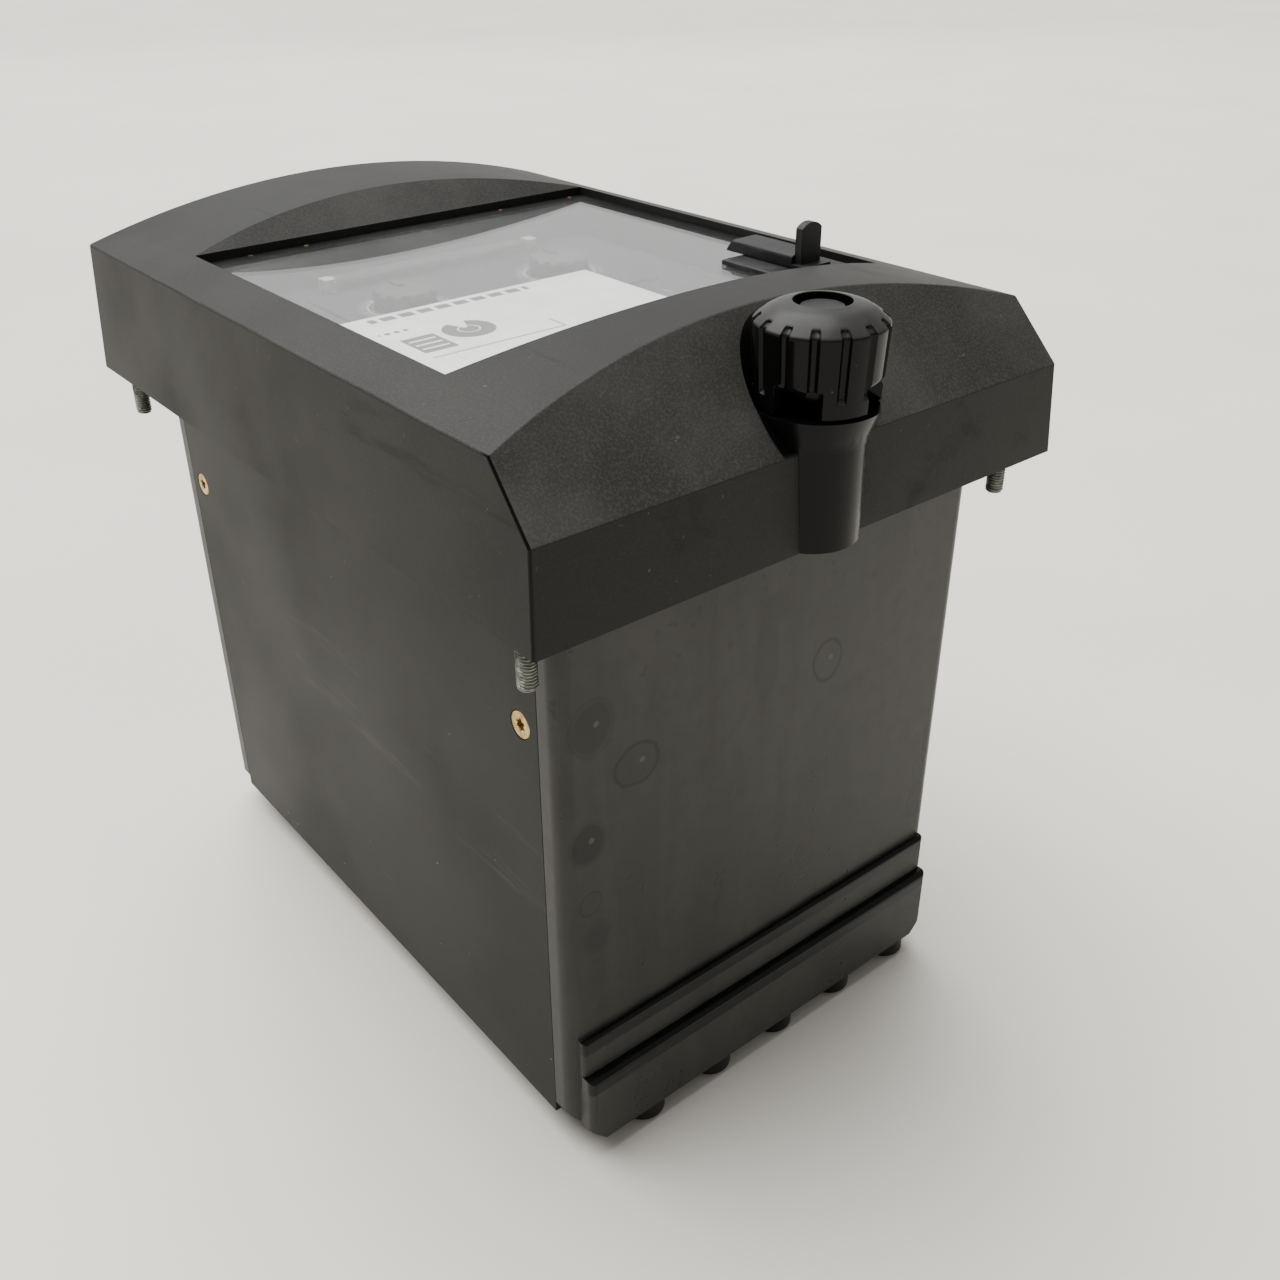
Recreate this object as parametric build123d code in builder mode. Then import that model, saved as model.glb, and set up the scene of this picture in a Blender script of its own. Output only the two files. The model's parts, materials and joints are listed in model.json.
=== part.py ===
"""Draw-out panel relay in a single-ended case, lying on its back with its front cover up.

+X is the relay's right side, +Y its top end and +Z out of the panel, towards the reader.
The origin is the centre of the four panel studs, on the rear face of the mounting flange.
"""
from build123d import *
from math import atan2, cos, radians, sin, sqrt
import os

# ---------------------------------------------------------------- driving dimensions, mm
# Front cover, measured across its open rim
cover_width = 168.9
cover_length = 236.7
cover_wall = 3.0
cover_draft = 3.1  # degrees that the side walls lean in
edge_radius = 0.9
arch_radius = 288.6  # of the front face, across the width
crown_z = 52.8
slope_foot = (-117.05, 26.1)  # y, z where the sloped end leaves the bottom wall
slope_head = (-103.15, 40.8)  # a second point of that slope

# Window, cut through the floor of a shallow recess in the arched face
window_half_width = 68.8
window_bottom_y = -66.9
window_top_y = 66.0
window_rim_z = 44.5
recess_bottom_run = 1.012  # y per unit of z on the sloped end walls of the recess
recess_top_run = 1.325
pane_thickness = 2.8
pane_front_z = 42.0
pane_lap = 3.0
pane_gap = 0.3
rebate_depth = 8.0

# Thumb nut at the bottom end
nut_y = -111.35
skirt_bottom_z = 34.7
skirt_rim_z = 54.0
dome_top_z = 57.4
skirt_bottom_radius = 14.3
skirt_rim_radius = 15.2
dome_hole_radius = 6.5
groove_count = 14
boss_radius = 12.0
pocket_floor_z = 34.4
insert_bore_radius = 5.25
clip_recess_radius = 8.0
clip_recess_top_z = 9.0

# Mounting flange and its studs
flange_thickness = 2.0
flange_half_width = 81.9
flange_half_length = 114.3
stud_spacing_x = 157.0
stud_spacing_y = 214.0
stud_radius = 2.4
stud_length = 12.0

# Case body behind the flange
body_half_width = 69.95
body_half_length = 105.0
plate_half_length = 96.9
plate_thickness = 1.6
plate_depth = 159.0
end_wall_depth = 163.0
end_wall_thickness = 4.0
corner_radius = 4.5
lower_ledge_z = -139.5
upper_ledge_z = -127.0
side_screw_y = 90.0
side_screw_z = -34.0

# Rear terminals: two rows of five at each end, half a pitch aside from each other
terminal_pitch = 25.4
terminal_rows_y = (90.3, 103.0)
base_back_z = -161.0
base_front_z = -150.0
slab_back_z = -165.0
ring_back_z = -168.4
saddle_seat_z = -166.4
saddle_back_z = -167.4
screw_head_z = -170.0
pocket_half_width = 60.6
pocket_half_length = 106.4

# Draw-out relay inside the case
relay_half_width = 62.5
relay_half_length = 58.0
panel_front_z = 29.0
relay_back_z = -140.0
circuit_count = 10
circuit_pitch = 11.4
case_blade_y = 88.0
relay_blade_y = 67.0
dial_radius = 9.0
dial_x = 27.0
dial_y = 22.0

# Target reset slide on the window
slide_x = 55.2
slide_y = -54.0
slide_top_z = 55.6
slide_travel = 9.0

pieces = {}


# ---------------------------------------------------------------- shared shapes
def block(low, high, mode=Mode.ADD):
    """A box from its lowest to its highest corner, in the builder that calls it."""
    centre = [(a + b) / 2 for a, b in zip(low, high)]
    size = [b - a for a, b in zip(low, high)]
    with Locations(tuple(centre)):
        Box(*size, mode=mode)


def rod(x, y, low_z, high_z, radius, mode=Mode.ADD):
    """A round bar along Z, in the builder that calls it."""
    with Locations((x, y, (low_z + high_z) / 2)):
        Cylinder(radius, high_z - low_z, mode=mode)


def circuit_positions():
    """X of each of the relay's circuits, centred on the case."""
    first = -(circuit_count - 1) / 2 * circuit_pitch
    return [first + number * circuit_pitch for number in range(circuit_count)]


def terminal_positions():
    """Centres of the rear terminals: rows of five, the inner row half a pitch aside."""
    spots = []
    for end in (-1, 1):
        for row, y in enumerate(terminal_rows_y):
            for number in range(5):
                x = (number - 2) * terminal_pitch + (2 * row - 1) * terminal_pitch / 4
                spots.append((x, end * y))
    return spots


def arch_height(x, inset=0.0):
    """Height of the arched face at x, or of the surface lying inset below it."""
    radius = arch_radius - inset
    return crown_z - arch_radius + sqrt(radius**2 - x**2)


def cover_form(inset):
    """The cover as a solid block, or with an inset the hollow that a wall leaves in it."""
    rise = slope_head[1] - slope_foot[1]
    run = slope_head[0] - slope_foot[0]
    angle = atan2(rise, run)
    foot_y = slope_foot[0] + inset * sin(angle)
    foot_z = slope_foot[1] - inset * cos(angle)
    low = (foot_y - 40 * cos(angle), foot_z - 40 * sin(angle))
    high = (foot_y + 60 * cos(angle), foot_z + 60 * sin(angle))
    reach = 100.0
    with BuildPart() as form:
        with BuildSketch(Plane.XY.offset(flange_thickness)):
            Rectangle(cover_width - 2 * inset, cover_length - 2 * inset)
        extrude(amount=crown_z, taper=cover_draft)
        with BuildSketch(Plane.XZ):
            with BuildLine():
                edge_z = arch_height(reach, inset)
                ThreePointArc((-reach, edge_z), (0, arch_height(0, inset)), (reach, edge_z))
                Polyline((reach, edge_z), (reach, -5), (-reach, -5), (-reach, edge_z))
            make_face()
        extrude(amount=cover_length, both=True, mode=Mode.INTERSECT)
        with BuildSketch(Plane.YZ):
            with BuildLine():
                Polyline(low, high, (low[0], high[1]), close=True)
            make_face()
        extrude(amount=cover_width, both=True, mode=Mode.SUBTRACT)
        if inset == 0:
            above_rim = form.edges().filter_by(lambda e: e.center().Z > flange_thickness + 1)
            fillet(above_rim, edge_radius)
    return form.part


# ---------------------------------------------------------------- front cover
with BuildPart() as cover_block:
    add(cover_form(0))

# The hollow stops short of the window's seat, so the pane lands on a ledge all round.
seat_bottom_y = window_bottom_y - pane_lap - 1.2
seat_top_y = window_top_y + pane_lap + 1.2
tray_rise = 14.0
with BuildPart() as cover_hollow:
    add(cover_form(cover_wall))
    with BuildSketch(Plane.YZ):
        with BuildLine():
            Polyline(
                (seat_bottom_y, pane_front_z),
                (seat_top_y, pane_front_z),
                (seat_top_y + recess_top_run * tray_rise, pane_front_z + tray_rise),
                (seat_bottom_y - recess_bottom_run * tray_rise, pane_front_z + tray_rise),
                close=True,
            )
        make_face()
    extrude(amount=cover_width, both=True, mode=Mode.SUBTRACT)

# The thumb nut sits in a conical scoop with its own wall, over a half-round boss.
pocket_radius = skirt_bottom_radius + 1.6
pocket_spread = 0.14
pocket_top_z = 60.0
lining_wall = 2.6
with BuildPart() as pocket_lining:
    with BuildSketch(Plane.XZ.offset(-nut_y)):
        with BuildLine():
            lining_top = pocket_radius + lining_wall + pocket_spread * (pocket_top_z - pocket_floor_z)
            Polyline(
                (0, pocket_floor_z - lining_wall),
                (pocket_radius + lining_wall, pocket_floor_z - lining_wall),
                (lining_top, pocket_top_z),
                (0, pocket_top_z),
                close=True,
            )
        make_face()
    revolve(axis=Axis((0, nut_y, 0), (0, 0, 1)))
    add(cover_form(0), mode=Mode.INTERSECT)

with BuildPart() as front_cover:
    add(cover_block.part)
    add(cover_hollow.part, mode=Mode.SUBTRACT)
    add(pocket_lining.part)
    # half-round boss, widening under the nut
    with BuildSketch(Plane.XZ.offset(-nut_y)):
        with BuildLine():
            Polyline(
                (0, flange_thickness),
                (boss_radius, flange_thickness),
                (boss_radius, 26.0),
                (skirt_rim_radius, pocket_floor_z),
                (0, pocket_floor_z),
                close=True,
            )
        make_face()
    revolve(axis=Axis((0, nut_y, 0), (0, 0, 1)))
    # conical scoop round the nut
    with BuildSketch(Plane.XZ.offset(-nut_y)):
        with BuildLine():
            pocket_top = pocket_radius + pocket_spread * (pocket_top_z - pocket_floor_z)
            Polyline(
                (0, pocket_floor_z),
                (pocket_radius, pocket_floor_z),
                (pocket_top, pocket_top_z),
                (0, pocket_top_z),
                close=True,
            )
        make_face()
    revolve(axis=Axis((0, nut_y, 0), (0, 0, 1)), mode=Mode.SUBTRACT)
    # window recess and opening
    with BuildSketch(Plane.YZ):
        with BuildLine():
            recess_rise = 15.0
            Polyline(
                (window_bottom_y, pane_front_z - 4),
                (window_top_y, pane_front_z - 4),
                (window_top_y, window_rim_z),
                (window_top_y + recess_top_run * recess_rise, window_rim_z + recess_rise),
                (window_bottom_y - recess_bottom_run * recess_rise, window_rim_z + recess_rise),
                (window_bottom_y, window_rim_z),
                close=True,
            )
        make_face()
    extrude(amount=window_half_width, both=True, mode=Mode.SUBTRACT)
    # rebate for the pane and its retaining frame
    rebate = pane_lap + pane_gap
    block(
        (-window_half_width - rebate, window_bottom_y - rebate, pane_front_z - rebate_depth),
        (window_half_width + rebate, window_top_y + rebate, pane_front_z),
        mode=Mode.SUBTRACT,
    )
    # bore for the nut's insert, counterbored from behind for its clip
    rod(0, nut_y, 0, pocket_floor_z + 1, insert_bore_radius, mode=Mode.SUBTRACT)
    rod(0, nut_y, 0, clip_recess_top_z, clip_recess_radius, mode=Mode.SUBTRACT)
pieces["front_cover"] = front_cover

# ---------------------------------------------------------------- window
pane_back_z = pane_front_z - pane_thickness
pane_low = (-window_half_width - pane_lap, window_bottom_y - pane_lap)
pane_high = (window_half_width + pane_lap, window_top_y + pane_lap)
slot_half_width = 2.6
slot_low = (slide_x - slot_half_width, slide_y - slot_half_width)
slot_high = (slide_x + slot_half_width, slide_y + slide_travel + slot_half_width)
with BuildPart() as window_pane:
    block((*pane_low, pane_back_z), (*pane_high, pane_front_z))
    fillet(window_pane.edges().filter_by(Axis.Z), 2.0)
    block((*slot_low, pane_back_z - 1), (*slot_high, pane_front_z + 1), mode=Mode.SUBTRACT)
pieces["window_pane"] = window_pane

frame_width = 7.0
frame_back_z = pane_back_z - 2.4
with BuildPart() as pane_retainer:
    block((*pane_low, frame_back_z), (*pane_high, pane_back_z))
    block(
        (pane_low[0] + frame_width, pane_low[1] + frame_width, frame_back_z - 1),
        (pane_high[0] - frame_width, pane_high[1] - frame_width, pane_back_z + 1),
        mode=Mode.SUBTRACT,
    )
pieces["pane_retainer"] = pane_retainer

rivet_radius = 1.1
rivet_height = 0.5
far_rivets_x = (-53.0, -35.0, 35.0, 63.0)
near_rivets_x = (-53.0, -35.0, 35.0)
far_rivets_y = window_top_y - 1.6
near_rivets_y = window_bottom_y + 2.2
rivet_spots = [(x, far_rivets_y) for x in far_rivets_x]
rivet_spots += [(x, near_rivets_y) for x in near_rivets_x]
with BuildPart() as pane_rivets:
    for rivet_x, rivet_y in rivet_spots:
        rod(rivet_x, rivet_y, pane_front_z, pane_front_z + rivet_height, rivet_radius)
pieces["pane_rivets"] = pane_rivets

label_low = (-64.6, -62.8)
label_high = (12.4, -10.3)
label_thickness = 0.2
with BuildPart() as window_label:
    block((*label_low, pane_back_z - label_thickness), (*label_high, pane_back_z))
pieces["window_label"] = window_label

# ---------------------------------------------------------------- target reset slide
guide_front_z = pane_front_z + 1.5
guide_low = (43.0, -66.4)
guide_high = (66.0, -33.0)
guide_chamfer = 0.4
with BuildPart() as reset_guide:
    block((*guide_low, pane_front_z), (*guide_high, guide_front_z))
    chamfer(reset_guide.edges().group_by(Axis.Z)[-1], guide_chamfer)
    block((*slot_low, pane_front_z - 1), (*slot_high, guide_front_z + 1), mode=Mode.SUBTRACT)
pieces["reset_guide"] = reset_guide

slider_back_z = guide_front_z + 0.2
slider_bar_z = slider_back_z + 3.4
slider_tongue_z = slider_back_z + 1.0
slider_bar_width = 10.0
slider_bar_foot_y = -27.0
slider_bar_head_y = -29.6
tab_half_width = 3.7
tab_thickness = 2.5
tab_shoulder_z = slide_top_z - 1.6
stem_half_width = 2.2
foot_half_width = 4.0
foot_back_z = 33.4
foot_front_z = 35.0
with BuildPart() as reset_slider:
    # bar that keeps the slot covered, with a sloped far end
    with BuildSketch(Plane.YZ.offset(slide_x - slider_bar_width / 2)):
        with BuildLine():
            Polyline(
                (slide_y - foot_half_width, slider_back_z),
                (slider_bar_foot_y, slider_back_z),
                (slider_bar_head_y, slider_bar_z),
                (slide_y + 1.0, slider_bar_z),
                (slide_y + 1.0, slider_tongue_z),
                (slide_y - foot_half_width, slider_tongue_z),
                close=True,
            )
        make_face()
    extrude(amount=slider_bar_width)
    fillet(reset_slider.edges().filter_by(Axis.Y).group_by(Axis.Z)[-1], 1.2)
    # finger tab with a rounded top
    with BuildSketch(Plane.XZ.offset(-slide_y - tab_thickness / 2)):
        with BuildLine():
            Polyline(
                (slide_x - tab_half_width, tab_shoulder_z),
                (slide_x - tab_half_width, slider_back_z),
                (slide_x + tab_half_width, slider_back_z),
                (slide_x + tab_half_width, tab_shoulder_z),
            )
            ThreePointArc(
                (slide_x + tab_half_width, tab_shoulder_z),
                (slide_x, slide_top_z),
                (slide_x - tab_half_width, tab_shoulder_z),
            )
        make_face()
    extrude(amount=tab_thickness)
    # stem through the slot and the foot that works the relay's reset
    stem_low_y = slide_y - stem_half_width
    stem_high_y = slide_y + stem_half_width
    block(
        (slide_x - stem_half_width, stem_low_y, foot_back_z + 1),
        (slide_x + stem_half_width, stem_high_y, slider_back_z),
    )
    block(
        (slide_x - foot_half_width, stem_low_y, foot_back_z),
        (slide_x + foot_half_width, stem_high_y, foot_front_z),
    )
pieces["reset_slider"] = reset_slider

spring_thickness = 0.6
spring_low_x = slide_x - 5.6
spring_low_y = slide_y + 3.2
spring_bend_y = slide_y + 23.0
spring_high_y = slide_y + 26.0
spring_back_z = 37.4
spring_front_z = 39.2
with BuildPart() as reset_spring:
    block(
        (spring_low_x, spring_low_y, spring_back_z),
        (spring_low_x + spring_thickness, spring_high_y, spring_front_z),
    )
    block(
        (spring_low_x, spring_bend_y, spring_back_z),
        (slide_x + 3.0, spring_bend_y + spring_thickness, spring_front_z),
    )
pieces["reset_spring"] = reset_spring

# ---------------------------------------------------------------- thumb nut
insert_radius = 4.8
hub_radius = 7.0
skirt_hollow_radius = 11.6
notch_count = 4
notch_height = 6.3
notch_half_width = 5.4
dome_hole_depth = 4.0
groove_radius = 1.15
groove_bottom_gap = 4.0
nut_axis = Axis((0, nut_y, 0), (0, 0, 1))
with BuildPart() as thumb_nut_knob:
    with BuildSketch(Plane.XZ.offset(-nut_y)):
        with BuildLine():
            Polyline(
                (insert_radius, skirt_bottom_z),
                (hub_radius, skirt_bottom_z),
                (hub_radius, skirt_bottom_z + notch_height),
                (skirt_hollow_radius, skirt_bottom_z + notch_height),
                (skirt_hollow_radius, skirt_bottom_z),
                (skirt_bottom_radius, skirt_bottom_z),
                (skirt_rim_radius, skirt_rim_z - 1.5),
            )
            ThreePointArc(
                (skirt_rim_radius, skirt_rim_z - 1.5),
                (skirt_rim_radius - 1.4, skirt_rim_z + 0.9),
                (skirt_rim_radius - 3.6, skirt_rim_z + 2.2),
            )
            ThreePointArc(
                (skirt_rim_radius - 3.6, skirt_rim_z + 2.2),
                (9.2, dome_top_z - 0.3),
                (dome_hole_radius, dome_top_z),
            )
            Polyline(
                (dome_hole_radius, dome_top_z),
                (dome_hole_radius, dome_top_z - dome_hole_depth),
                (insert_radius, dome_top_z - dome_hole_depth),
                (insert_radius, skirt_bottom_z),
            )
        make_face()
    revolve(axis=nut_axis)
    # finger grooves down the side
    for number in range(groove_count):
        turn = radians(360 / groove_count * (number + 0.5))
        groove_x = (skirt_rim_radius + 0.2) * cos(turn)
        groove_y = nut_y + (skirt_rim_radius + 0.2) * sin(turn)
        groove_foot_z = skirt_bottom_z + groove_bottom_gap
        rod(groove_x, groove_y, groove_foot_z, dome_top_z, groove_radius, mode=Mode.SUBTRACT)
    # drive notches in the skirt's lower edge, each midway between two grooves
    notch_middle = (skirt_hollow_radius + skirt_bottom_radius) / 2
    notch_depth = 2 * (skirt_rim_radius - notch_middle)
    for number in range(notch_count):
        turn = 360 / groove_count + 360 / notch_count * number
        with Locations(Pos(0, nut_y, skirt_bottom_z) * Rot(0, 0, turn) * Pos(notch_middle, 0, 0)):
            Box(notch_depth, 2 * notch_half_width, 2 * notch_height, mode=Mode.SUBTRACT)
pieces["thumb_nut_knob"] = thumb_nut_knob

stud_bore_radius = 2.45
stud_bore_top_z = 32.0
insert_back_z = 4.6
insert_face_z = dome_top_z - 1.3
insert_collar_top_z = dome_top_z - 3.0
insert_collar_radius = dome_hole_radius - 0.05
with BuildPart() as thumb_nut_insert:
    rod(0, nut_y, insert_back_z, insert_face_z, insert_radius)
    rod(0, nut_y, dome_top_z - dome_hole_depth, insert_collar_top_z, insert_collar_radius)
    rod(0, nut_y, insert_back_z - 1, stud_bore_top_z, stud_bore_radius, mode=Mode.SUBTRACT)
pieces["thumb_nut_insert"] = thumb_nut_insert

clip_back_z = 6.6
clip_front_z = 7.8
clip_radius = 7.2
with BuildPart() as thumb_nut_clip:
    rod(0, nut_y, clip_back_z, clip_front_z, clip_radius)
    rod(0, nut_y, clip_back_z - 1, clip_front_z + 1, insert_radius, mode=Mode.SUBTRACT)
pieces["thumb_nut_clip"] = thumb_nut_clip

# ---------------------------------------------------------------- mounting flange
opening_half_x = 66.0
opening_half_y = 100.5
nut_pad_radius = 7.0
tip_chamfer = 0.5
with BuildPart() as mounting_flange:
    block(
        (-flange_half_width, -flange_half_length, 0),
        (flange_half_width, flange_half_length, flange_thickness),
    )
    fillet(mounting_flange.edges().filter_by(Axis.Z), 1.5)
    rod(0, nut_y, 0, flange_thickness, nut_pad_radius)
    block(
        (-opening_half_x, -opening_half_y, -1),
        (opening_half_x, opening_half_y, flange_thickness + 1),
        mode=Mode.SUBTRACT,
    )
pieces["mounting_flange"] = mounting_flange

stud_corners = [(x, y) for x in (-stud_spacing_x / 2, stud_spacing_x / 2)
                for y in (-stud_spacing_y / 2, stud_spacing_y / 2)]
with BuildPart() as panel_studs:
    for stud_x, stud_y in stud_corners:
        rod(stud_x, stud_y, -stud_length, 0, stud_radius)
    chamfer(panel_studs.edges().group_by(Axis.Z)[0], tip_chamfer)
pieces["panel_studs"] = panel_studs

cover_stud_tip_z = 30.0
cover_stud_collar_z = 3.6
cover_stud_collar_radius = 4.2
with BuildPart() as cover_stud:
    rod(0, nut_y, flange_thickness, cover_stud_tip_z, stud_radius)
    rod(0, nut_y, flange_thickness, cover_stud_collar_z, cover_stud_collar_radius)
    chamfer(cover_stud.edges().group_by(Axis.Z)[-1], tip_chamfer)
pieces["cover_stud"] = cover_stud

gasket_top_z = flange_thickness + 1.8
gasket_half_x = 75.5
gasket_half_y = 106.5
gasket_width = 4.0
gasket_hole_x = gasket_half_x - gasket_width
gasket_hole_y = gasket_half_y - gasket_width
nut_notch_radius = boss_radius + 0.6
with BuildPart() as cover_gasket:
    block((-gasket_half_x, -gasket_half_y, flange_thickness), (gasket_half_x, gasket_half_y, gasket_top_z))
    block(
        (-gasket_hole_x, -gasket_hole_y, flange_thickness - 1),
        (gasket_hole_x, gasket_hole_y, gasket_top_z + 1),
        mode=Mode.SUBTRACT,
    )
    rod(0, nut_y, flange_thickness - 1, gasket_top_z + 1, nut_notch_radius, mode=Mode.SUBTRACT)
pieces["cover_gasket"] = cover_gasket

# ---------------------------------------------------------------- end walls and side plates
plate_inner_x = body_half_width - plate_thickness
seam_gap = 0.25
wall_return = 3.9
ledge_half_width = 67.2
ledges = ((upper_ledge_z, 107.2, 1.5), (lower_ledge_z, 110.0, 2.0))  # height, reach in y, rounding
lug_inner_x = 61.0
lug_outer_x = plate_inner_x - 0.02
lug_foot_y = 85.5
lug_half_height = 6.0
lug_bore_radius = 1.75
foot_bevel_top_z = -155.0
foot_bevel_inner_x = 62.5


def end_wall(end):
    """The moulded wall at one end of the case: -1 at the bottom end, 1 at the top end."""
    outer_y = end * body_half_length
    inner_y = end * (body_half_length - end_wall_thickness)
    seam_y = end * (plate_half_length + seam_gap)
    return_x = body_half_width - wall_return
    with BuildPart() as wall:
        low_y, high_y = sorted((outer_y, seam_y))
        block((-body_half_width, low_y, -end_wall_depth), (body_half_width, high_y, 0))
        outer_edges = wall.edges().filter_by(Axis.Z).filter_by(
            lambda e: abs(e.center().Y - outer_y) < 0.1
        )
        fillet(outer_edges, corner_radius)
        low_y, high_y = sorted((inner_y, seam_y - end))
        block((-return_x, low_y, -end_wall_depth - 1), (return_x, high_y, 1), mode=Mode.SUBTRACT)
        # rounded ledges that step the foot of the wall outwards
        for ledge_z, ledge_y, round_over in ledges:
            with BuildPart(mode=Mode.PRIVATE) as ledge:
                low_y, high_y = sorted((end * (body_half_length - 2), end * ledge_y))
                block((-ledge_half_width, low_y, -end_wall_depth), (ledge_half_width, high_y, ledge_z))
                rounded = ledge.edges().filter_by(
                    lambda e: abs(e.center().Y - end * ledge_y) < 0.1
                    and e.center().Z > -end_wall_depth + 1
                )
                fillet(rounded, round_over)
            add(ledge.part)
        # pocket that the rear terminal base reaches into
        low_y, high_y = sorted((inner_y - end, end * pocket_half_length))
        block(
            (-pocket_half_width, low_y, -end_wall_depth - 1),
            (pocket_half_width, high_y, base_front_z + 0.4),
            mode=Mode.SUBTRACT,
        )
        # lugs that the side plates screw to
        for side in (-1, 1):
            low_x, high_x = sorted((side * lug_inner_x, side * lug_outer_x))
            low_y, high_y = sorted((end * lug_foot_y, inner_y + end))
            block(
                (low_x, low_y, side_screw_z - lug_half_height),
                (high_x, high_y, side_screw_z + lug_half_height),
            )
            bore = Plane((side * (lug_inner_x - 1), end * side_screw_y, side_screw_z), z_dir=(side, 0, 0))
            with BuildSketch(bore):
                Circle(lug_bore_radius)
            extrude(amount=lug_outer_x - lug_inner_x + 2, mode=Mode.SUBTRACT)
        # bevelled corners at the foot
        with BuildSketch(Plane.XZ):
            for side in (-1, 1):
                with BuildLine():
                    Polyline(
                        (side * body_half_width, foot_bevel_top_z),
                        (side * (body_half_width + 5), foot_bevel_top_z),
                        (side * (body_half_width + 5), screw_head_z),
                        (side * (foot_bevel_inner_x - 2.5), screw_head_z),
                        (side * foot_bevel_inner_x, -end_wall_depth),
                        close=True,
                    )
                make_face()
        extrude(amount=2 * body_half_length, both=True, mode=Mode.SUBTRACT)
    return wall


pieces["bottom_end_wall"] = end_wall(-1)
pieces["top_end_wall"] = end_wall(1)


screw_hole_radius = 1.8
countersink_radius = 3.9
side_screw_head_radius = 3.6
side_screw_shank_radius = 1.65
side_screw_reach = 5.0


def side_plate(side):
    """The painted sheet on one side of the case, with countersunk holes for its screws."""
    low_x, high_x = sorted((side * plate_inner_x, side * body_half_width))
    with BuildPart() as plate:
        block((low_x, -plate_half_length, -plate_depth), (high_x, plate_half_length, 0))
        for screw_y in (-side_screw_y, side_screw_y):
            face = Plane((side * body_half_width, screw_y, side_screw_z), z_dir=(side, 0, 0))
            with Locations(face):
                CounterSinkHole(screw_hole_radius, countersink_radius, depth=plate_thickness)
    return plate


pieces["left_side_plate"] = side_plate(-1)
pieces["right_side_plate"] = side_plate(1)

with BuildPart() as side_plate_screws:
    for side in (-1, 1):
        for screw_y in (-side_screw_y, side_screw_y):
            head = Plane((side * body_half_width, screw_y, side_screw_z), z_dir=(-side, 0, 0))
            with BuildSketch(head.offset(0.1)):
                Circle(side_screw_head_radius)
            with BuildSketch(head.offset(plate_thickness)):
                Circle(side_screw_shank_radius)
            loft()
            with BuildSketch(head.offset(plate_thickness)):
                Circle(side_screw_shank_radius)
            extrude(amount=side_screw_reach)
pieces["side_plate_screws"] = side_plate_screws

# ---------------------------------------------------------------- rear terminals
screw_shank_radius = 2.2
screw_bore_radius = 2.3
screw_head_radius = 4.4
screw_slot_half_width = 0.6
screw_slot_depth = 1.4
saddle_radius = 5.0
base_half_x = 65.9
base_half_y = 100.9
base_tongue_x = 68.2
base_tongue_y = 95.5
slab_half_x = 62.0
slab_half_y = 108.2
ring_radius = 6.6
ring_bore_radius = 5.2
base_gap = 0.2
with BuildPart() as rear_terminal_base:
    block((-base_half_x, -base_half_y, base_back_z), (base_half_x, base_half_y, base_front_z))
    block((-base_tongue_x, -base_tongue_y, base_back_z), (base_tongue_x, base_tongue_y, base_front_z))
    reach_x = pocket_half_width - base_gap
    reach_y = pocket_half_length - base_gap
    slab_front_z = -end_wall_depth - base_gap
    block((-reach_x, -reach_y, slab_front_z), (reach_x, reach_y, base_front_z))
    block((-slab_half_x, -slab_half_y, slab_back_z), (slab_half_x, slab_half_y, slab_front_z))
    for terminal_x, terminal_y in terminal_positions():
        rod(terminal_x, terminal_y, ring_back_z, slab_front_z, ring_radius)
    for terminal_x, terminal_y in terminal_positions():
        rod(terminal_x, terminal_y, ring_back_z - 1, saddle_seat_z, ring_bore_radius, Mode.SUBTRACT)
        rod(terminal_x, terminal_y, ring_back_z, base_front_z + 1, screw_bore_radius, Mode.SUBTRACT)
pieces["rear_terminal_base"] = rear_terminal_base

with BuildPart() as terminal_saddles:
    for terminal_x, terminal_y in terminal_positions():
        rod(terminal_x, terminal_y, saddle_back_z, saddle_seat_z, saddle_radius)
    for terminal_x, terminal_y in terminal_positions():
        rod(
            terminal_x, terminal_y, saddle_back_z - 1, saddle_seat_z + 1, screw_bore_radius, Mode.SUBTRACT
        )
pieces["terminal_saddles"] = terminal_saddles

with BuildPart() as terminal_screws:
    for terminal_x, terminal_y in terminal_positions():
        rod(terminal_x, terminal_y, screw_head_z, saddle_back_z, screw_head_radius)
        rod(terminal_x, terminal_y, saddle_back_z, base_front_z, screw_shank_radius)
        block(
            (terminal_x - saddle_radius, terminal_y - screw_slot_half_width, screw_head_z - 1),
            (
                terminal_x + saddle_radius,
                terminal_y + screw_slot_half_width,
                screw_head_z + screw_slot_depth,
            ),
            mode=Mode.SUBTRACT,
        )
pieces["terminal_screws"] = terminal_screws


# ---------------------------------------------------------------- case contacts
case_block_front_z = -8.0
case_block_back_z = -48.0
blade_slot = (6.4, 2.4)
blade_slot_floor_z = -42.0
case_block_half_x = 60.5
case_block_near_y = 79.0
relay_block_far_y = 76.0
terminal_bar_y = (96.0, 97.0)
terminal_bar_half_width = 2.5


def contact_block(end, middle_y, near_y, far_y):
    """A moulded block with one slot for each circuit's blade, at one end of the case."""
    low_y, high_y = sorted((end * near_y, end * far_y))
    with BuildPart() as holder:
        block(
            (-case_block_half_x, low_y, case_block_back_z),
            (case_block_half_x, high_y, case_block_front_z),
        )
        for x in circuit_positions():
            block(
                (x - blade_slot[0] / 2, end * middle_y - blade_slot[1] / 2, blade_slot_floor_z),
                (x + blade_slot[0] / 2, end * middle_y + blade_slot[1] / 2, 0),
                mode=Mode.SUBTRACT,
            )
    return holder


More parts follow.
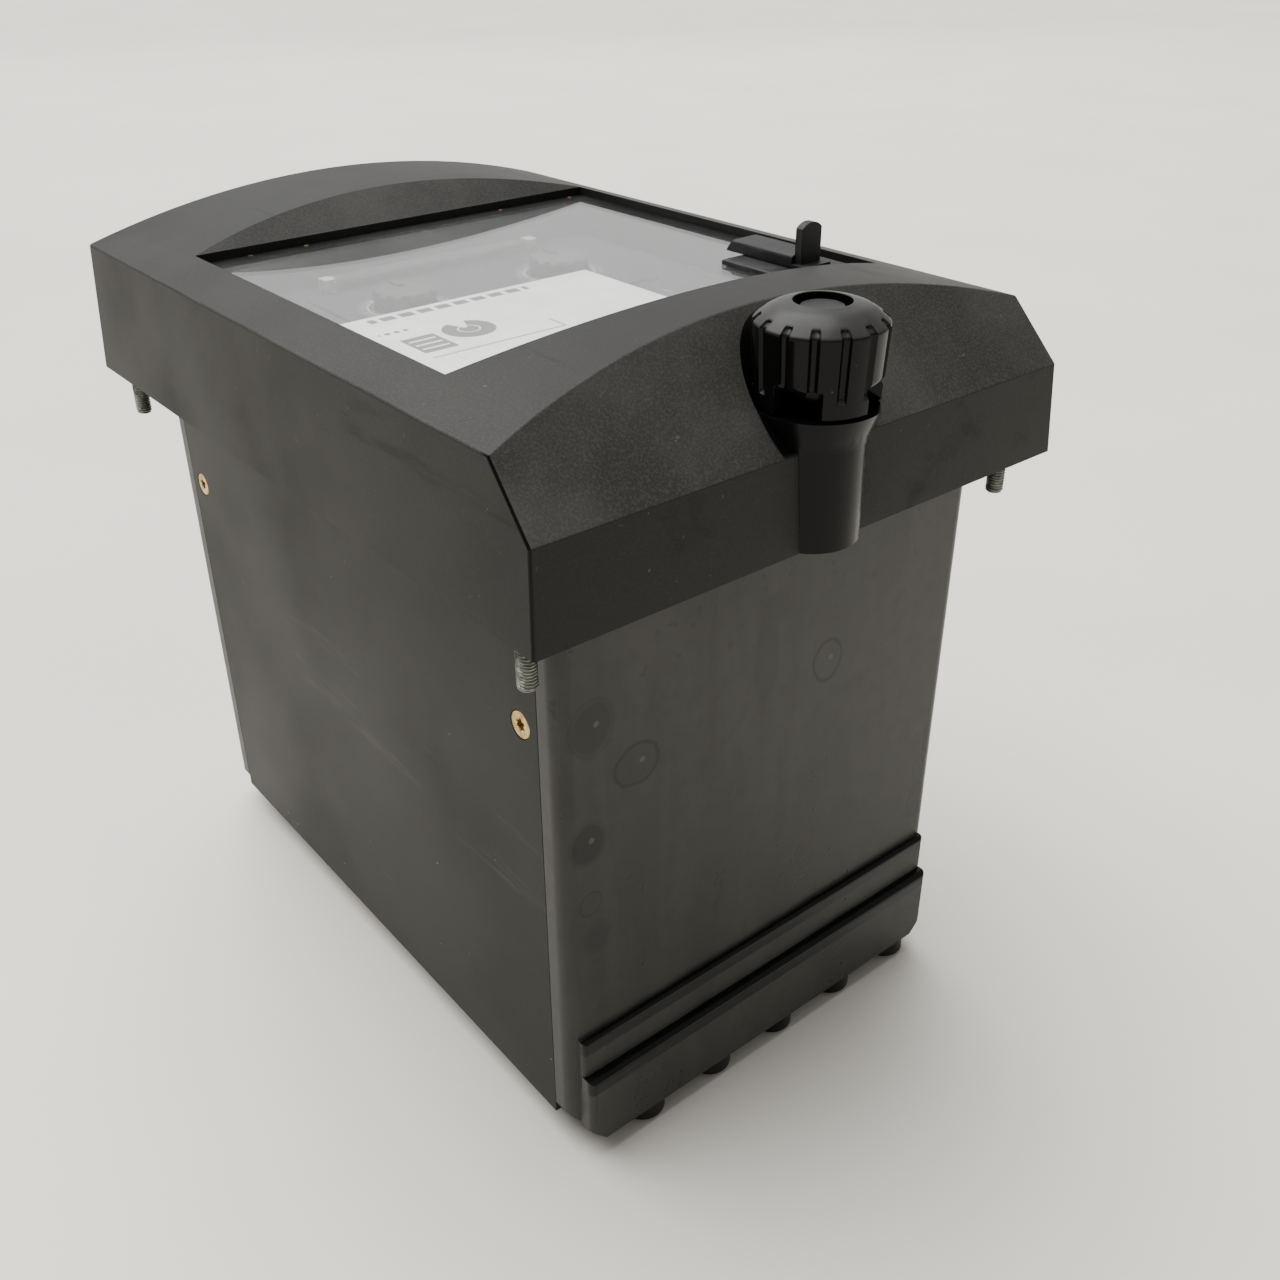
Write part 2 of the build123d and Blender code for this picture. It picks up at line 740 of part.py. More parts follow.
pieces["bottom_case_contacts"] = contact_block(-1, case_blade_y, case_block_near_y, base_half_y)
pieces["top_case_contacts"] = contact_block(1, case_blade_y, case_block_near_y, base_half_y)
pieces["bottom_relay_contacts"] = contact_block(
    -1, relay_blade_y, relay_half_length, relay_block_far_y
)
pieces["top_relay_contacts"] = contact_block(
    1, relay_blade_y, relay_half_length, relay_block_far_y
)

with BuildPart() as terminal_bars:
    for end in (-1, 1):
        for x in circuit_positions():
            low_y, high_y = sorted((end * terminal_bar_y[0], end * terminal_bar_y[1]))
            block(
                (x - terminal_bar_half_width, low_y, base_front_z),
                (x + terminal_bar_half_width, high_y, case_block_back_z),
            )
pieces["terminal_bars"] = terminal_bars

rails_y = (-40.0, 40.0)
rail_outer_half = 7.0
rail_inner_half = 5.4
rail_back_z = -146.0
rail_front_z = -4.0
rail_lip_x = 64.6
rail_web_x = 67.0
with BuildPart() as guide_rails:
    for side in (-1, 1):
        for rail_y in rails_y:
            low_x, high_x = sorted((side * rail_lip_x, side * plate_inner_x))
            for low_y, high_y in (
                (rail_y - rail_outer_half, rail_y - rail_inner_half),
                (rail_y + rail_inner_half, rail_y + rail_outer_half),
            ):
                block((low_x, low_y, rail_back_z), (high_x, high_y, rail_front_z))
            low_x, high_x = sorted((side * rail_web_x, side * plate_inner_x))
            block(
                (low_x, rail_y - rail_inner_half, rail_back_z),
                (high_x, rail_y + rail_inner_half, rail_front_z),
            )
pieces["guide_rails"] = guide_rails


# ---------------------------------------------------------------- connection plugs
plug_back_z = -6.0
plug_front_z = 20.0
plug_bar_z = 8.0
plug_half_x = 60.0
plug_y = (62.5, 94.0)
grip_half_x = 44.0
grip_y = (74.0, 84.0)
grip_rounding = 3.0
blade_length = 18.0
blade_half_width = 2.8
blade_half_thickness = 0.8


def plug_body(end):
    """The finger-grip moulding that bridges the case's contacts and the relay's."""
    low_y, high_y = sorted((end * plug_y[0], end * plug_y[1]))
    grip_low_y, grip_high_y = sorted((end * grip_y[0], end * grip_y[1]))
    with BuildPart() as plug:
        block((-plug_half_x, low_y, plug_back_z), (plug_half_x, high_y, plug_bar_z))
        block((-grip_half_x, grip_low_y, plug_bar_z), (grip_half_x, grip_high_y, plug_front_z))
        front_edges = plug.edges().filter_by(Axis.X).group_by(Axis.Z)[-1]
        fillet(front_edges, grip_rounding)
    return plug


def plug_blades(end):
    """Two rows of flat blades that stand out of the plug's back."""
    with BuildPart() as blades:
        for middle_y in (case_blade_y, relay_blade_y):
            for x in circuit_positions():
                block(
                    (
                        x - blade_half_width,
                        end * middle_y - blade_half_thickness,
                        plug_back_z - blade_length,
                    ),
                    (x + blade_half_width, end * middle_y + blade_half_thickness, plug_back_z),
                )
    return blades


pieces["bottom_connection_plug"] = plug_body(-1)
pieces["top_connection_plug"] = plug_body(1)
pieces["bottom_plug_blades"] = plug_blades(-1)
pieces["top_plug_blades"] = plug_blades(1)

# ---------------------------------------------------------------- draw-out relay
panel_back_z = panel_front_z - 2.0
flag_windows_x = (-16.0, 16.0)
flag_window_y = -36.0
flag_window_half = (6.0, 4.0)
flag_opening_half = (5.0, 3.4)
shaft_hole_radius = 3.1
with BuildPart() as relay_front_panel:
    block(
        (-relay_half_width, -relay_half_length, panel_back_z),
        (relay_half_width, relay_half_length, panel_front_z),
    )
    for flag_x in flag_windows_x:
        block(
            (flag_x - flag_window_half[0], flag_window_y - flag_window_half[1], panel_back_z - 1),
            (flag_x + flag_window_half[0], flag_window_y + flag_window_half[1], panel_front_z + 1),
            mode=Mode.SUBTRACT,
        )
    for hole_x in (-dial_x, dial_x):
        rod(hole_x, dial_y, panel_back_z - 1, panel_front_z + 1, shaft_hole_radius, mode=Mode.SUBTRACT)
pieces["relay_front_panel"] = relay_front_panel


runner_x = 65.4
runner_half_width = 5.0
sheet_thickness = 1.6
frame_openings_y = (-24.0, 24.0)
frame_opening_half = 12.0
frame_opening_z = (-120.0, -60.0)


def relay_side_frame(side):
    """One of the sheet sides that carry the circuit boards and run in the guide rails."""
    low_x, high_x = sorted((side * (relay_half_width - sheet_thickness), side * relay_half_width))
    runner_low_x, runner_high_x = sorted((side * relay_half_width, side * runner_x))
    with BuildPart() as frame:
        block(
            (low_x, -relay_half_length, relay_back_z),
            (high_x, relay_half_length, panel_back_z),
        )
        for rail_y in rails_y:
            block(
                (runner_low_x, rail_y - runner_half_width, relay_back_z),
                (runner_high_x, rail_y + runner_half_width, case_block_front_z),
            )
        for opening_y in frame_openings_y:
            block(
                (-body_half_width, opening_y - frame_opening_half, frame_opening_z[0]),
                (body_half_width, opening_y + frame_opening_half, frame_opening_z[1]),
                mode=Mode.SUBTRACT,
            )
    return frame


pieces["left_relay_frame"] = relay_side_frame(-1)
pieces["right_relay_frame"] = relay_side_frame(1)

with BuildPart() as relay_rear_plate:
    block(
        (-relay_half_width, -relay_half_length, relay_back_z - sheet_thickness),
        (relay_half_width, relay_half_length, relay_back_z),
    )
pieces["relay_rear_plate"] = relay_rear_plate

board_faces_x = (-46.0, -8.0, 30.0)
board_thickness = 1.6
board_half_length = 55.0
board_front_z = 8.0
with BuildPart() as circuit_boards:
    for board_x in board_faces_x:
        block(
            (board_x, -board_half_length, relay_back_z),
            (board_x + board_thickness, board_half_length, board_front_z),
        )
pieces["circuit_boards"] = circuit_boards

# y, length, z and radius of each capacitor
capacitor_spots = ((-38, 9, -110, 7), (-12, 14, -84, 6), (18, 10, -120, 7), (34, 12, -40, 5))
with BuildPart() as board_capacitors:
    for board_x in board_faces_x[:2]:
        for part_y, part_length, part_z, part_radius in capacitor_spots:
            stand = Plane((board_x + board_thickness, part_y, part_z), z_dir=(1, 0, 0))
            with BuildSketch(stand):
                Circle(part_radius)
            extrude(amount=part_length)
pieces["board_capacitors"] = board_capacitors

chip_rows_y = (-30.0, -8.0, 40.0)
chip_columns_z = (-60.0, -30.0, -8.0)
chip_height = 3.2
chip_half_length = 9.5
chip_half_width = 3.4
with BuildPart() as board_chips:
    for board_x in board_faces_x:
        # the last board's lowest row leaves room for the transformers
        for chip_z in chip_columns_z[1:] if board_x == board_faces_x[-1] else chip_columns_z:
            for chip_y in chip_rows_y:
                block(
                    (board_x - chip_height, chip_y - chip_half_length, chip_z - chip_half_width),
                    (board_x, chip_y + chip_half_length, chip_z + chip_half_width),
                )
pieces["board_chips"] = board_chips

board_top_x = board_faces_x[-1] + board_thickness
output_relays_y = (-40.0, -14.0, 12.0, 38.0)
output_relay_half_width = 10.0
output_relay_height = 15.0
output_relay_z = (-134.0, -106.0)
with BuildPart() as output_relays:
    for relay_y in output_relays_y:
        block(
            (board_top_x, relay_y - output_relay_half_width, output_relay_z[0]),
            (board_top_x + output_relay_height, relay_y + output_relay_half_width, output_relay_z[1]),
        )
    fillet(output_relays.edges().group_by(Axis.X)[-1], 1.0)
pieces["output_relays"] = output_relays

transformers_y = (-28.0, 28.0)
core_top_x = 56.0
core_half_width = 18.0
core_z = (-102.0, -64.0)
core_limb = 6.0
core_leg_half = 4.0
coil_x = (34.0, 54.0)
coil_gap = 0.5
core_window_y = core_half_width - core_limb
core_window_z = (core_z[0] + core_limb, core_z[1] - core_limb)
with BuildPart() as input_transformer_cores:
    for core_y in transformers_y:
        block(
            (board_top_x, core_y - core_half_width, core_z[0]),
            (core_top_x, core_y + core_half_width, core_z[1]),
        )
        for low_y, high_y in ((-core_window_y, -core_leg_half), (core_leg_half, core_window_y)):
            block(
                (board_top_x - 1, core_y + low_y, core_window_z[0]),
                (core_top_x + 1, core_y + high_y, core_window_z[1]),
                mode=Mode.SUBTRACT,
            )
pieces["input_transformer_cores"] = input_transformer_cores

with BuildPart() as input_transformer_coils:
    coil_y = core_window_y - coil_gap
    for core_y in transformers_y:
        for low_y, high_y in ((-coil_y, -core_leg_half), (core_leg_half, coil_y)):
            block(
                (coil_x[0], core_y + low_y, core_window_z[0] + coil_gap),
                (coil_x[1], core_y + high_y, core_window_z[1] - coil_gap),
            )
pieces["input_transformer_coils"] = input_transformer_coils

# ---------------------------------------------------------------- relay front panel fittings
scale_low = (-46.0, -2.0)
scale_high = (46.0, 46.0)
scale_thickness = 0.6
with BuildPart() as dial_scale_plate:
    block((*scale_low, panel_front_z), (*scale_high, panel_front_z + scale_thickness))
    for hole_x in (-dial_x, dial_x):
        rod(hole_x, dial_y, panel_front_z - 1, panel_front_z + 2, shaft_hole_radius, mode=Mode.SUBTRACT)
pieces["dial_scale_plate"] = dial_scale_plate

bezel_low = (-26.0, -46.0)
bezel_high = (26.0, -27.0)
bezel_thickness = 2.0
with BuildPart() as target_bezel:
    block((*bezel_low, panel_front_z), (*bezel_high, panel_front_z + bezel_thickness))
    for flag_x in flag_windows_x:
        block(
            (flag_x - flag_opening_half[0], flag_window_y - flag_opening_half[1], panel_front_z - 1),
            (flag_x + flag_opening_half[0], flag_window_y + flag_opening_half[1], panel_front_z + 3),
            mode=Mode.SUBTRACT,
        )
pieces["target_bezel"] = target_bezel

indicator_y = -14.0
indicator_collar_radius = 3.6
indicator_radius = 2.5
indicator_height = 3.4
indicator_rounding = 1.6
with BuildPart() as power_indicator:
    rod(0, indicator_y, panel_front_z, panel_front_z + 1, indicator_collar_radius)
    rod(0, indicator_y, panel_front_z, panel_front_z + indicator_height, indicator_radius)
    fillet(power_indicator.edges().group_by(Axis.Z)[-1], indicator_rounding)
pieces["power_indicator"] = power_indicator

paddle_low_y = -38.0
paddle_high_y = -30.0
paddle_upright = 1.5
paddle_top_z = 36.0
paddle_base = 1.2
with BuildPart() as reset_paddle:
    block(
        (slide_x - foot_half_width, paddle_low_y, panel_front_z),
        (slide_x + foot_half_width, paddle_low_y + paddle_upright, paddle_top_z),
    )
    block(
        (slide_x - foot_half_width, paddle_low_y, panel_front_z),
        (slide_x + foot_half_width, paddle_high_y, panel_front_z + paddle_base),
    )
pieces["reset_paddle"] = reset_paddle


flute_count = 12
flute_radius = 1.4
dial_back_z = panel_front_z + 0.9
dial_face_z = panel_front_z + 5.6
dial_chamfer = 0.8
pointer_half_width = 0.9
pointer_height = 0.8
shaft_radius = 3.05
shaft_length = 12.0


def dial_knob(centre_x):
    """A fluted setting knob with a pointer rib, on its shaft through the panel."""
    with BuildPart() as knob:
        rod(centre_x, dial_y, dial_back_z, dial_face_z, dial_radius)
        chamfer(knob.edges().group_by(Axis.Z)[-1], dial_chamfer)
        for number in range(flute_count):
            turn = radians(360 / flute_count * number)
            flute_x = centre_x + (dial_radius + 0.5) * cos(turn)
            flute_y = dial_y + (dial_radius + 0.5) * sin(turn)
            rod(flute_x, flute_y, panel_front_z, dial_face_z + 1, flute_radius, mode=Mode.SUBTRACT)
        block(
            (centre_x - pointer_half_width, dial_y + 1.5, dial_face_z),
            (
                centre_x + pointer_half_width,
                dial_y + dial_radius - 2 * dial_chamfer,
                dial_face_z + pointer_height,
            ),
        )
        rod(centre_x, dial_y, panel_back_z - shaft_length, panel_front_z + 1, shaft_radius)
    return knob


pieces["pickup_dial_knob"] = dial_knob(-dial_x)
pieces["time_dial_knob"] = dial_knob(dial_x)


flag_z = (panel_back_z - 3.4, panel_back_z - 2.4)
flag_pin_y = flag_window_y - 4.4
flag_pin_half_length = 6.5
flag_pin_radius = 1.1


def target_flag(centre_x):
    """A hinged vane behind its window, on a pin along X."""
    with BuildPart() as flag:
        block(
            (centre_x - flag_opening_half[0], flag_window_y - flag_opening_half[1], flag_z[0]),
            (centre_x + flag_opening_half[0], flag_window_y + flag_opening_half[1], flag_z[1]),
        )
        pin = Plane((centre_x - flag_pin_half_length, flag_pin_y, flag_z[0]), z_dir=(1, 0, 0))
        with BuildSketch(pin):
            Circle(flag_pin_radius)
        extrude(amount=2 * flag_pin_half_length)
    return flag


pieces["left_target_flag"] = target_flag(flag_windows_x[0])
pieces["right_target_flag"] = target_flag(flag_windows_x[1])

bracket_x = (7.0, 8.2)
bracket_low_y = flag_window_y - 8.0
bracket_high_y = flag_window_y + 6.0
bracket_depth = 8.0
with BuildPart() as target_brackets:
    for flag_x in flag_windows_x:
        for side in (-1, 1):
            low_x, high_x = sorted((flag_x + side * bracket_x[0], flag_x + side * bracket_x[1]))
            block(
                (low_x, bracket_low_y, panel_back_z - bracket_depth),
                (high_x, bracket_high_y, panel_back_z),
            )
pieces["target_brackets"] = target_brackets


latch_pivot_y = 51.0
latch_reach = 5.4
latch_half_width = 34.0
latch_back_z = panel_front_z + 1.1
latch_thickness = 2.0
latch_pivot_z = latch_back_z + latch_thickness / 2
latch_bracket_x = (34.4, 38.0)
latch_bracket_half_length = 2.2
latch_bracket_height = 4.0


def draw_latch(end):
    """A flat pull lever that lies on the relay's panel and folds up to draw it out."""
    pivot_y = end * latch_pivot_y
    with BuildPart() as lever:
        low_y, high_y = sorted((pivot_y, pivot_y + end * latch_reach))
        block(
            (-latch_half_width, low_y, latch_back_z),
            (latch_half_width, high_y, latch_back_z + latch_thickness),
        )
        with BuildSketch(Plane((-latch_half_width, pivot_y, latch_pivot_z), z_dir=(1, 0, 0))):
            Circle(latch_thickness / 2)
        extrude(amount=2 * latch_half_width)
    return lever


pieces["bottom_draw_latch"] = draw_latch(-1)
pieces["top_draw_latch"] = draw_latch(1)

with BuildPart() as latch_brackets:
    for end in (-1, 1):
        for side in (-1, 1):
            low_x, high_x = sorted((side * latch_bracket_x[0], side * latch_bracket_x[1]))
            pivot_y = end * latch_pivot_y
            block(
                (low_x, pivot_y - latch_bracket_half_length, panel_front_z),
                (high_x, pivot_y + latch_bracket_half_length, panel_front_z + latch_bracket_height),
            )
pieces["latch_brackets"] = latch_brackets

# ---------------------------------------------------------------- files
os.makedirs("parts", exist_ok=True)
for name, piece in pieces.items():
    piece.part.label = name
    export_step(piece.part, f"parts/{name}.step")
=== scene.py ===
"""Draw-out panel relay: the finished look, built around its packed design model.

Every length is in metres and every piece stands where the design model says, lying on its back with
the front cover up. +X is the relay's right side, +Y its top end and +Z out of the panel.
"""

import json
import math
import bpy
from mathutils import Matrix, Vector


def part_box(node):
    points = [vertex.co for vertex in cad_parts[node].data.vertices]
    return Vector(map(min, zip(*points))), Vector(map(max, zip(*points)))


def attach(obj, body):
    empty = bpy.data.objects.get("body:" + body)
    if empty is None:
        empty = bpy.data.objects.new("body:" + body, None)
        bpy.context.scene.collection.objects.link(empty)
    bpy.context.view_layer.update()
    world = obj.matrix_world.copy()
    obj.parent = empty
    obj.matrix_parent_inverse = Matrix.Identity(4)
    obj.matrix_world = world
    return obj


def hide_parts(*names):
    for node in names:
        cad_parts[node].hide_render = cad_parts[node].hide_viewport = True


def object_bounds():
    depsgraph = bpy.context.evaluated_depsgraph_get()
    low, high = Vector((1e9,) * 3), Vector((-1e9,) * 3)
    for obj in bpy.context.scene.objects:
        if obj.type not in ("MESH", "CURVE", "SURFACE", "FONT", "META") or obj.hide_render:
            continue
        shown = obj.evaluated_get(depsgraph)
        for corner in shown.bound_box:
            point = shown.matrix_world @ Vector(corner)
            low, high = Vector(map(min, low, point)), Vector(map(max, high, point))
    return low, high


bl_info = {
    "name": "Draw-out Panel Relay",
    "version": (1, 0, 0),
    "blender": (4, 5, 0),
    "location": "View3D > Sidebar > Relay",
    "description": "Builds a draw-out panel relay in its case around a design model",
    "category": "Add Mesh",
}

import bmesh
import bpy
import numpy as np
from bpy.props import FloatProperty, FloatVectorProperty, IntProperty, PointerProperty
from mathutils import Matrix, Vector

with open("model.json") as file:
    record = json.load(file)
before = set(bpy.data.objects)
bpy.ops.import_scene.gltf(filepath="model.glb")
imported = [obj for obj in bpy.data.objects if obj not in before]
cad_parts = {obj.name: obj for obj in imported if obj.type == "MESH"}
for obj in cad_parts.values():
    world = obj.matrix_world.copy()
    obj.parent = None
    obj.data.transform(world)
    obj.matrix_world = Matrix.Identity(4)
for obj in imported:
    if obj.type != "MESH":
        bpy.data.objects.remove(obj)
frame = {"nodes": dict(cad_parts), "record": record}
design_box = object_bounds()

MM = 0.001
MERGE_DISTANCE = 2e-6
SEAM_DISTANCE = 1e-7
NODES = frame["nodes"]
BODY_OF = {n: b for b, ns in frame["record"]["behaviour"]["bodies"].items() for n in ns}
SLOT_OF = {s["node"]: s["material_slot"] for s in frame["record"]["subparts"]}


# ---------------------------------------------------------------- what a user may change
class RelaySizes(bpy.types.PropertyGroup):
    """Sizes of the finishing touches that the design model leaves out."""

    edge_softness: FloatProperty(
        name="Edge softness",
        description="Width of the small bevel on moulded and sheared edges",
        default=0.35 * MM, min=0.0, max=2 * MM, subtype="DISTANCE", unit="LENGTH",
    )
    thread_pitch: FloatProperty(
        name="Thread pitch",
        description="Distance from crest to crest on the No. 10 studs",
        default=0.794 * MM, min=0.3 * MM, max=2 * MM, subtype="DISTANCE", unit="LENGTH",
    )
    thread_depth: FloatProperty(
        name="Thread depth",
        description="How deep the thread's root lies below its crest",
        default=0.42 * MM, min=0.1 * MM, max=1 * MM, subtype="DISTANCE", unit="LENGTH",
    )
    knob_grooves: IntProperty(
        name="Knob grooves",
        description="Number of finger grooves round the thumb nut",
        default=14, min=3, max=60,
    )
    groove_depth: FloatProperty(
        name="Groove depth",
        description="Depth of each finger groove in the thumb nut",
        default=1.1 * MM, min=0.1 * MM, max=3 * MM, subtype="DISTANCE", unit="LENGTH",
    )
    notch_height: FloatProperty(
        name="Notch height",
        description="Height of the four drive notches in the thumb nut's lower edge",
        default=6.3 * MM, min=0.0, max=12 * MM, subtype="DISTANCE", unit="LENGTH",
    )


def colour_property(name, description, default):
    """A linear colour that a user can change."""
    return FloatVectorProperty(
        name=name, description=description, default=default, size=3, min=0.0, max=1.0,
        subtype="COLOR",
    )


class RelayFinishes(bpy.types.PropertyGroup):
    """Colours of the finishes, as linear values."""

    cover: colour_property("Cover moulding", "Textured charcoal moulding", (0.0138, 0.0134, 0.0119))
    case: colour_property("Case moulding", "Semi-gloss black moulding", (0.010, 0.0098, 0.0090))
    paint: colour_property("Side paint", "Olive-grey paint", (0.0130, 0.0129, 0.0104))
    knob: colour_property("Knob", "Polished black phenolic", (0.003, 0.003, 0.003))
    inner: colour_property("Inner moulding", "Dull black phenolic", (0.008, 0.008, 0.008))
    zinc: colour_property("Zinc", "Dulled zinc plating", (0.33, 0.34, 0.30))
    yellow_zinc: colour_property("Yellow zinc", "Yellow passivate", (0.62, 0.46, 0.20))
    brass: colour_property("Brass", "Tarnished brass", (0.52, 0.36, 0.14))
    label: colour_property("Label", "White printed film", (0.94, 0.94, 0.91))
    film: colour_property("Grime film", "Grey handling haze on gloss", (0.0400, 0.0396, 0.0352))


class RelayStage(bpy.types.PropertyGroup):
    """The floor, the lights and the camera."""

    floor: colour_property("Floor", "Pale floor", (0.80, 0.765, 0.69))
    sky: colour_property("Surroundings", "Pale room round the object", (0.95, 0.945, 0.92))
    sky_strength: FloatProperty(
        name="Surroundings strength", description="Brightness of the pale room", default=0.38, min=0.0,
    )
    key_strength: FloatProperty(
        name="Key strength", description="Strength of the very wide overhead light, in W per m2",
        default=6.5, min=0.0,
    )
    back_power: FloatProperty(
        name="Back power", description="Power of the softbox behind the object",
        default=11.0, min=0.0, subtype="POWER", unit="POWER",
    )
    lens: FloatProperty(
        name="Lens", description="Focal length on a 36 mm sensor", default=36.93, min=10, max=200,
    )


# ---------------------------------------------------------------- mesh helpers
def put_in_scene(name, data):
    """An object at the origin that holds the mesh, light or camera."""
    piece = bpy.data.objects.new(name, data)
    bpy.context.scene.collection.objects.link(piece)
    return piece


def mesh_from(name, points, faces):
    """A mesh from arrays of points and faces, with outward normals."""
    mesh = bpy.data.meshes.new(name)
    mesh.from_pydata(np.asarray(points).tolist(), [], [list(map(int, f)) for f in faces])
    work = bmesh.new()
    work.from_mesh(mesh)
    bmesh.ops.remove_doubles(work, verts=work.verts, dist=SEAM_DISTANCE)
    bmesh.ops.recalc_face_normals(work, faces=work.faces)
    work.to_mesh(mesh)
    work.free()
    return mesh


def smooth(mesh, angle=35.0):
    """Smooth shading, with edges sharper than the angle kept sharp."""
    mesh.polygons.foreach_set("use_smooth", np.ones(len(mesh.polygons), bool))
    mesh.set_sharp_from_angle(angle=math.radians(angle))
    mesh.update()
    return mesh


def middle(node):
    """The middle of the box round a design node."""
    low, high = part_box(node)
    return [(a + b) / 2 for a, b in zip(low, high)]


def angles(columns):
    """Evenly spaced angles of a full turn, as one row."""
    return np.linspace(0, 2 * math.pi, columns, endpoint=False)[None, :]


def eased(value, start, end):
    """0 up to start and 1 from end, with a smooth cubic step between them."""
    share = np.clip((value - start) / (end - start), 0, 1)
    return share * share * (3 - 2 * share)


def turned_grid(radius, height, centre_x, centre_y):
    """Points and faces of a closed form of revolution-like rows.

    Row i and column j lie at angle 2 pi j / columns, radius[i, j] from the axis and at height[i, j].
    Quads join neighbouring rows and columns, and a fan to one point closes each end.
    """
    rows, columns = radius.shape
    angle = angles(columns)
    points = np.stack(
        [centre_x + radius * np.cos(angle), centre_y + radius * np.sin(angle), height], axis=-1
    ).reshape(-1, 3)
    row, column = np.meshgrid(np.arange(rows - 1), np.arange(columns), indexing="ij")
    following = (column + 1) % columns
    quads = np.stack(
        [row * columns + column, row * columns + following,
         (row + 1) * columns + following, (row + 1) * columns + column], axis=-1
    ).reshape(-1, 4)
    ends = [(centre_x, centre_y, float(height[k].mean())) for k in (0, -1)]
    points = np.vstack([points, *ends])
    ring = np.arange(columns)
    after = (ring + 1) % columns
    first, last, top = rows * columns, rows * columns + 1, (rows - 1) * columns
    fans = [(first, b, a) for a, b in zip(ring, after)]
    fans += [(last, top + a, top + b) for a, b in zip(ring, after)]
    return points, [tuple(q) for q in quads] + fans


def turned_rows(rows, columns, centre_x, centre_y):
    """A closed turned form from rows of a radius and a height, each one number or one a column."""
    radius, height = (
        np.vstack([np.broadcast_to(value, (1, columns)) for value in values]) for values in zip(*rows)
    )
    return turned_grid(radius, height, centre_x, centre_y)


def joined(parts):
    """Several points-and-faces pairs as one."""
    points, faces, offset = [], [], 0
    for part_points, part_faces in parts:
        points.append(part_points)
        faces += [tuple(index + offset for index in face) for face in part_faces]
        offset += len(part_points)
    return np.vstack(points), faces


def rounded_profile(corners, radii, steps=5):
    """A profile through the corners, with each inner corner rounded.

    At a corner the two legs are cut back by its radius and joined by a quadratic curve that has the
    corner as its control point.
    """
    corners = np.asarray(corners, float)
    line = [corners[0]]
    for before, corner, after, cut in zip(corners, corners[1:], corners[2:], radii):
        if cut <= 0:
            line.append(corner)
            continue
        start = corner + (before - corner) / np.linalg.norm(before - corner) * cut
        end = corner + (after - corner) / np.linalg.norm(after - corner) * cut
        share = np.linspace(0, 1, steps)[:, None]
        line += list((1 - share) ** 2 * start + 2 * share * (1 - share) * corner + share**2 * end)
    line.append(corners[-1])
    return np.array(line)


def refined(profile, longest):
    """The profile with points added so that no step is longer than the given length."""
    line = [profile[0]]
    for a, b in zip(profile, profile[1:]):
        pieces = max(1, int(math.ceil(np.linalg.norm(b - a) / longest)))
        line += [a + (b - a) * (k + 1) / pieces for k in range(pieces)]
    return np.array(line)


def soften(node, finish, width=None, angle=30.0, segments=2):
    """Replaces a design node by a copy whose sharp edges are bevelled and normals weighted by area.

    The copy's loose triangles are merged and flat areas are joined into single faces first, so that
    the bevel runs along real edges only.
    """
    mesh = NODES[node].data.copy()
    mesh.name = node + "_finished"
    mesh.materials.clear()
    if mesh.attributes.get("custom_normal"):
        mesh.attributes.remove(mesh.attributes["custom_normal"])
    work = bmesh.new()
    work.from_mesh(mesh)
    bmesh.ops.remove_doubles(work, verts=work.verts, dist=MERGE_DISTANCE)
    flat = math.radians(0.6)
    bmesh.ops.dissolve_limit(work, angle_limit=flat, verts=work.verts, edges=work.edges)
    work.to_mesh(mesh)
    work.free()
    piece = put_in_scene(node + "_finished", mesh)
    bevel = piece.modifiers.new("Edges", "BEVEL")
    bevel.width = bpy.context.scene.relay_sizes.edge_softness if width is None else width
    bevel.segments = segments
    bevel.limit_method = "ANGLE"
    bevel.angle_limit = math.radians(angle)
    bevel.use_clamp_overlap = True
    bevel.miter_outer = "MITER_ARC"
    weighted = piece.modifiers.new("Shading", "WEIGHTED_NORMAL")
    weighted.mode = "FACE_AREA"
    weighted.keep_sharp = True
    smooth(mesh, 60.0)
    graph = bpy.context.evaluated_depsgraph_get()
    finished = bpy.data.meshes.new_from_object(piece.evaluated_get(graph), depsgraph=graph)
    piece.modifiers.clear()
    piece.data = finished
    dress(piece, node, finish)


def solid_centres(node):
    """Centres in X and Y of the boxes round the separate solids of a design node."""
    work = bmesh.new()
    work.from_mesh(NODES[node].data)
    bmesh.ops.remove_doubles(work, verts=work.verts, dist=MERGE_DISTANCE)
    left = set(work.verts)
    centres = []
    while left:
        waiting = [left.pop()]
        found = []
        while waiting:
            vertex = waiting.pop()
            found.append(vertex.co[:2])
            beside = {edge.other_vert(vertex) for edge in vertex.link_edges} & left
            left -= beside
            waiting += beside
        corners = np.array(found)
        centres.append(tuple((corners.min(0) + corners.max(0)) / 2))
    work.free()
    return sorted(centres)


def new_piece(node, name, parts, finish, angle=35.0):
    """A new piece made of points-and-faces pairs, which stands for the design node."""
    dress(put_in_scene(name, smooth(mesh_from(name, *joined(parts)), angle)), node, finish)


def dress(piece, node, finish):
    """Gives a new piece its material and body, and lets it stand for the design node."""
    piece.data.materials.clear()
    piece.data.materials.append(finish_material(finish))
    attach(piece, BODY_OF[node])
    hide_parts(node)


def dress_node(node, finish):
    """Gives a design node, whose shape stays, its finished material."""
    target = NODES[node]
    target.data.materials.clear()
    target.data.materials.append(finish_material(finish))


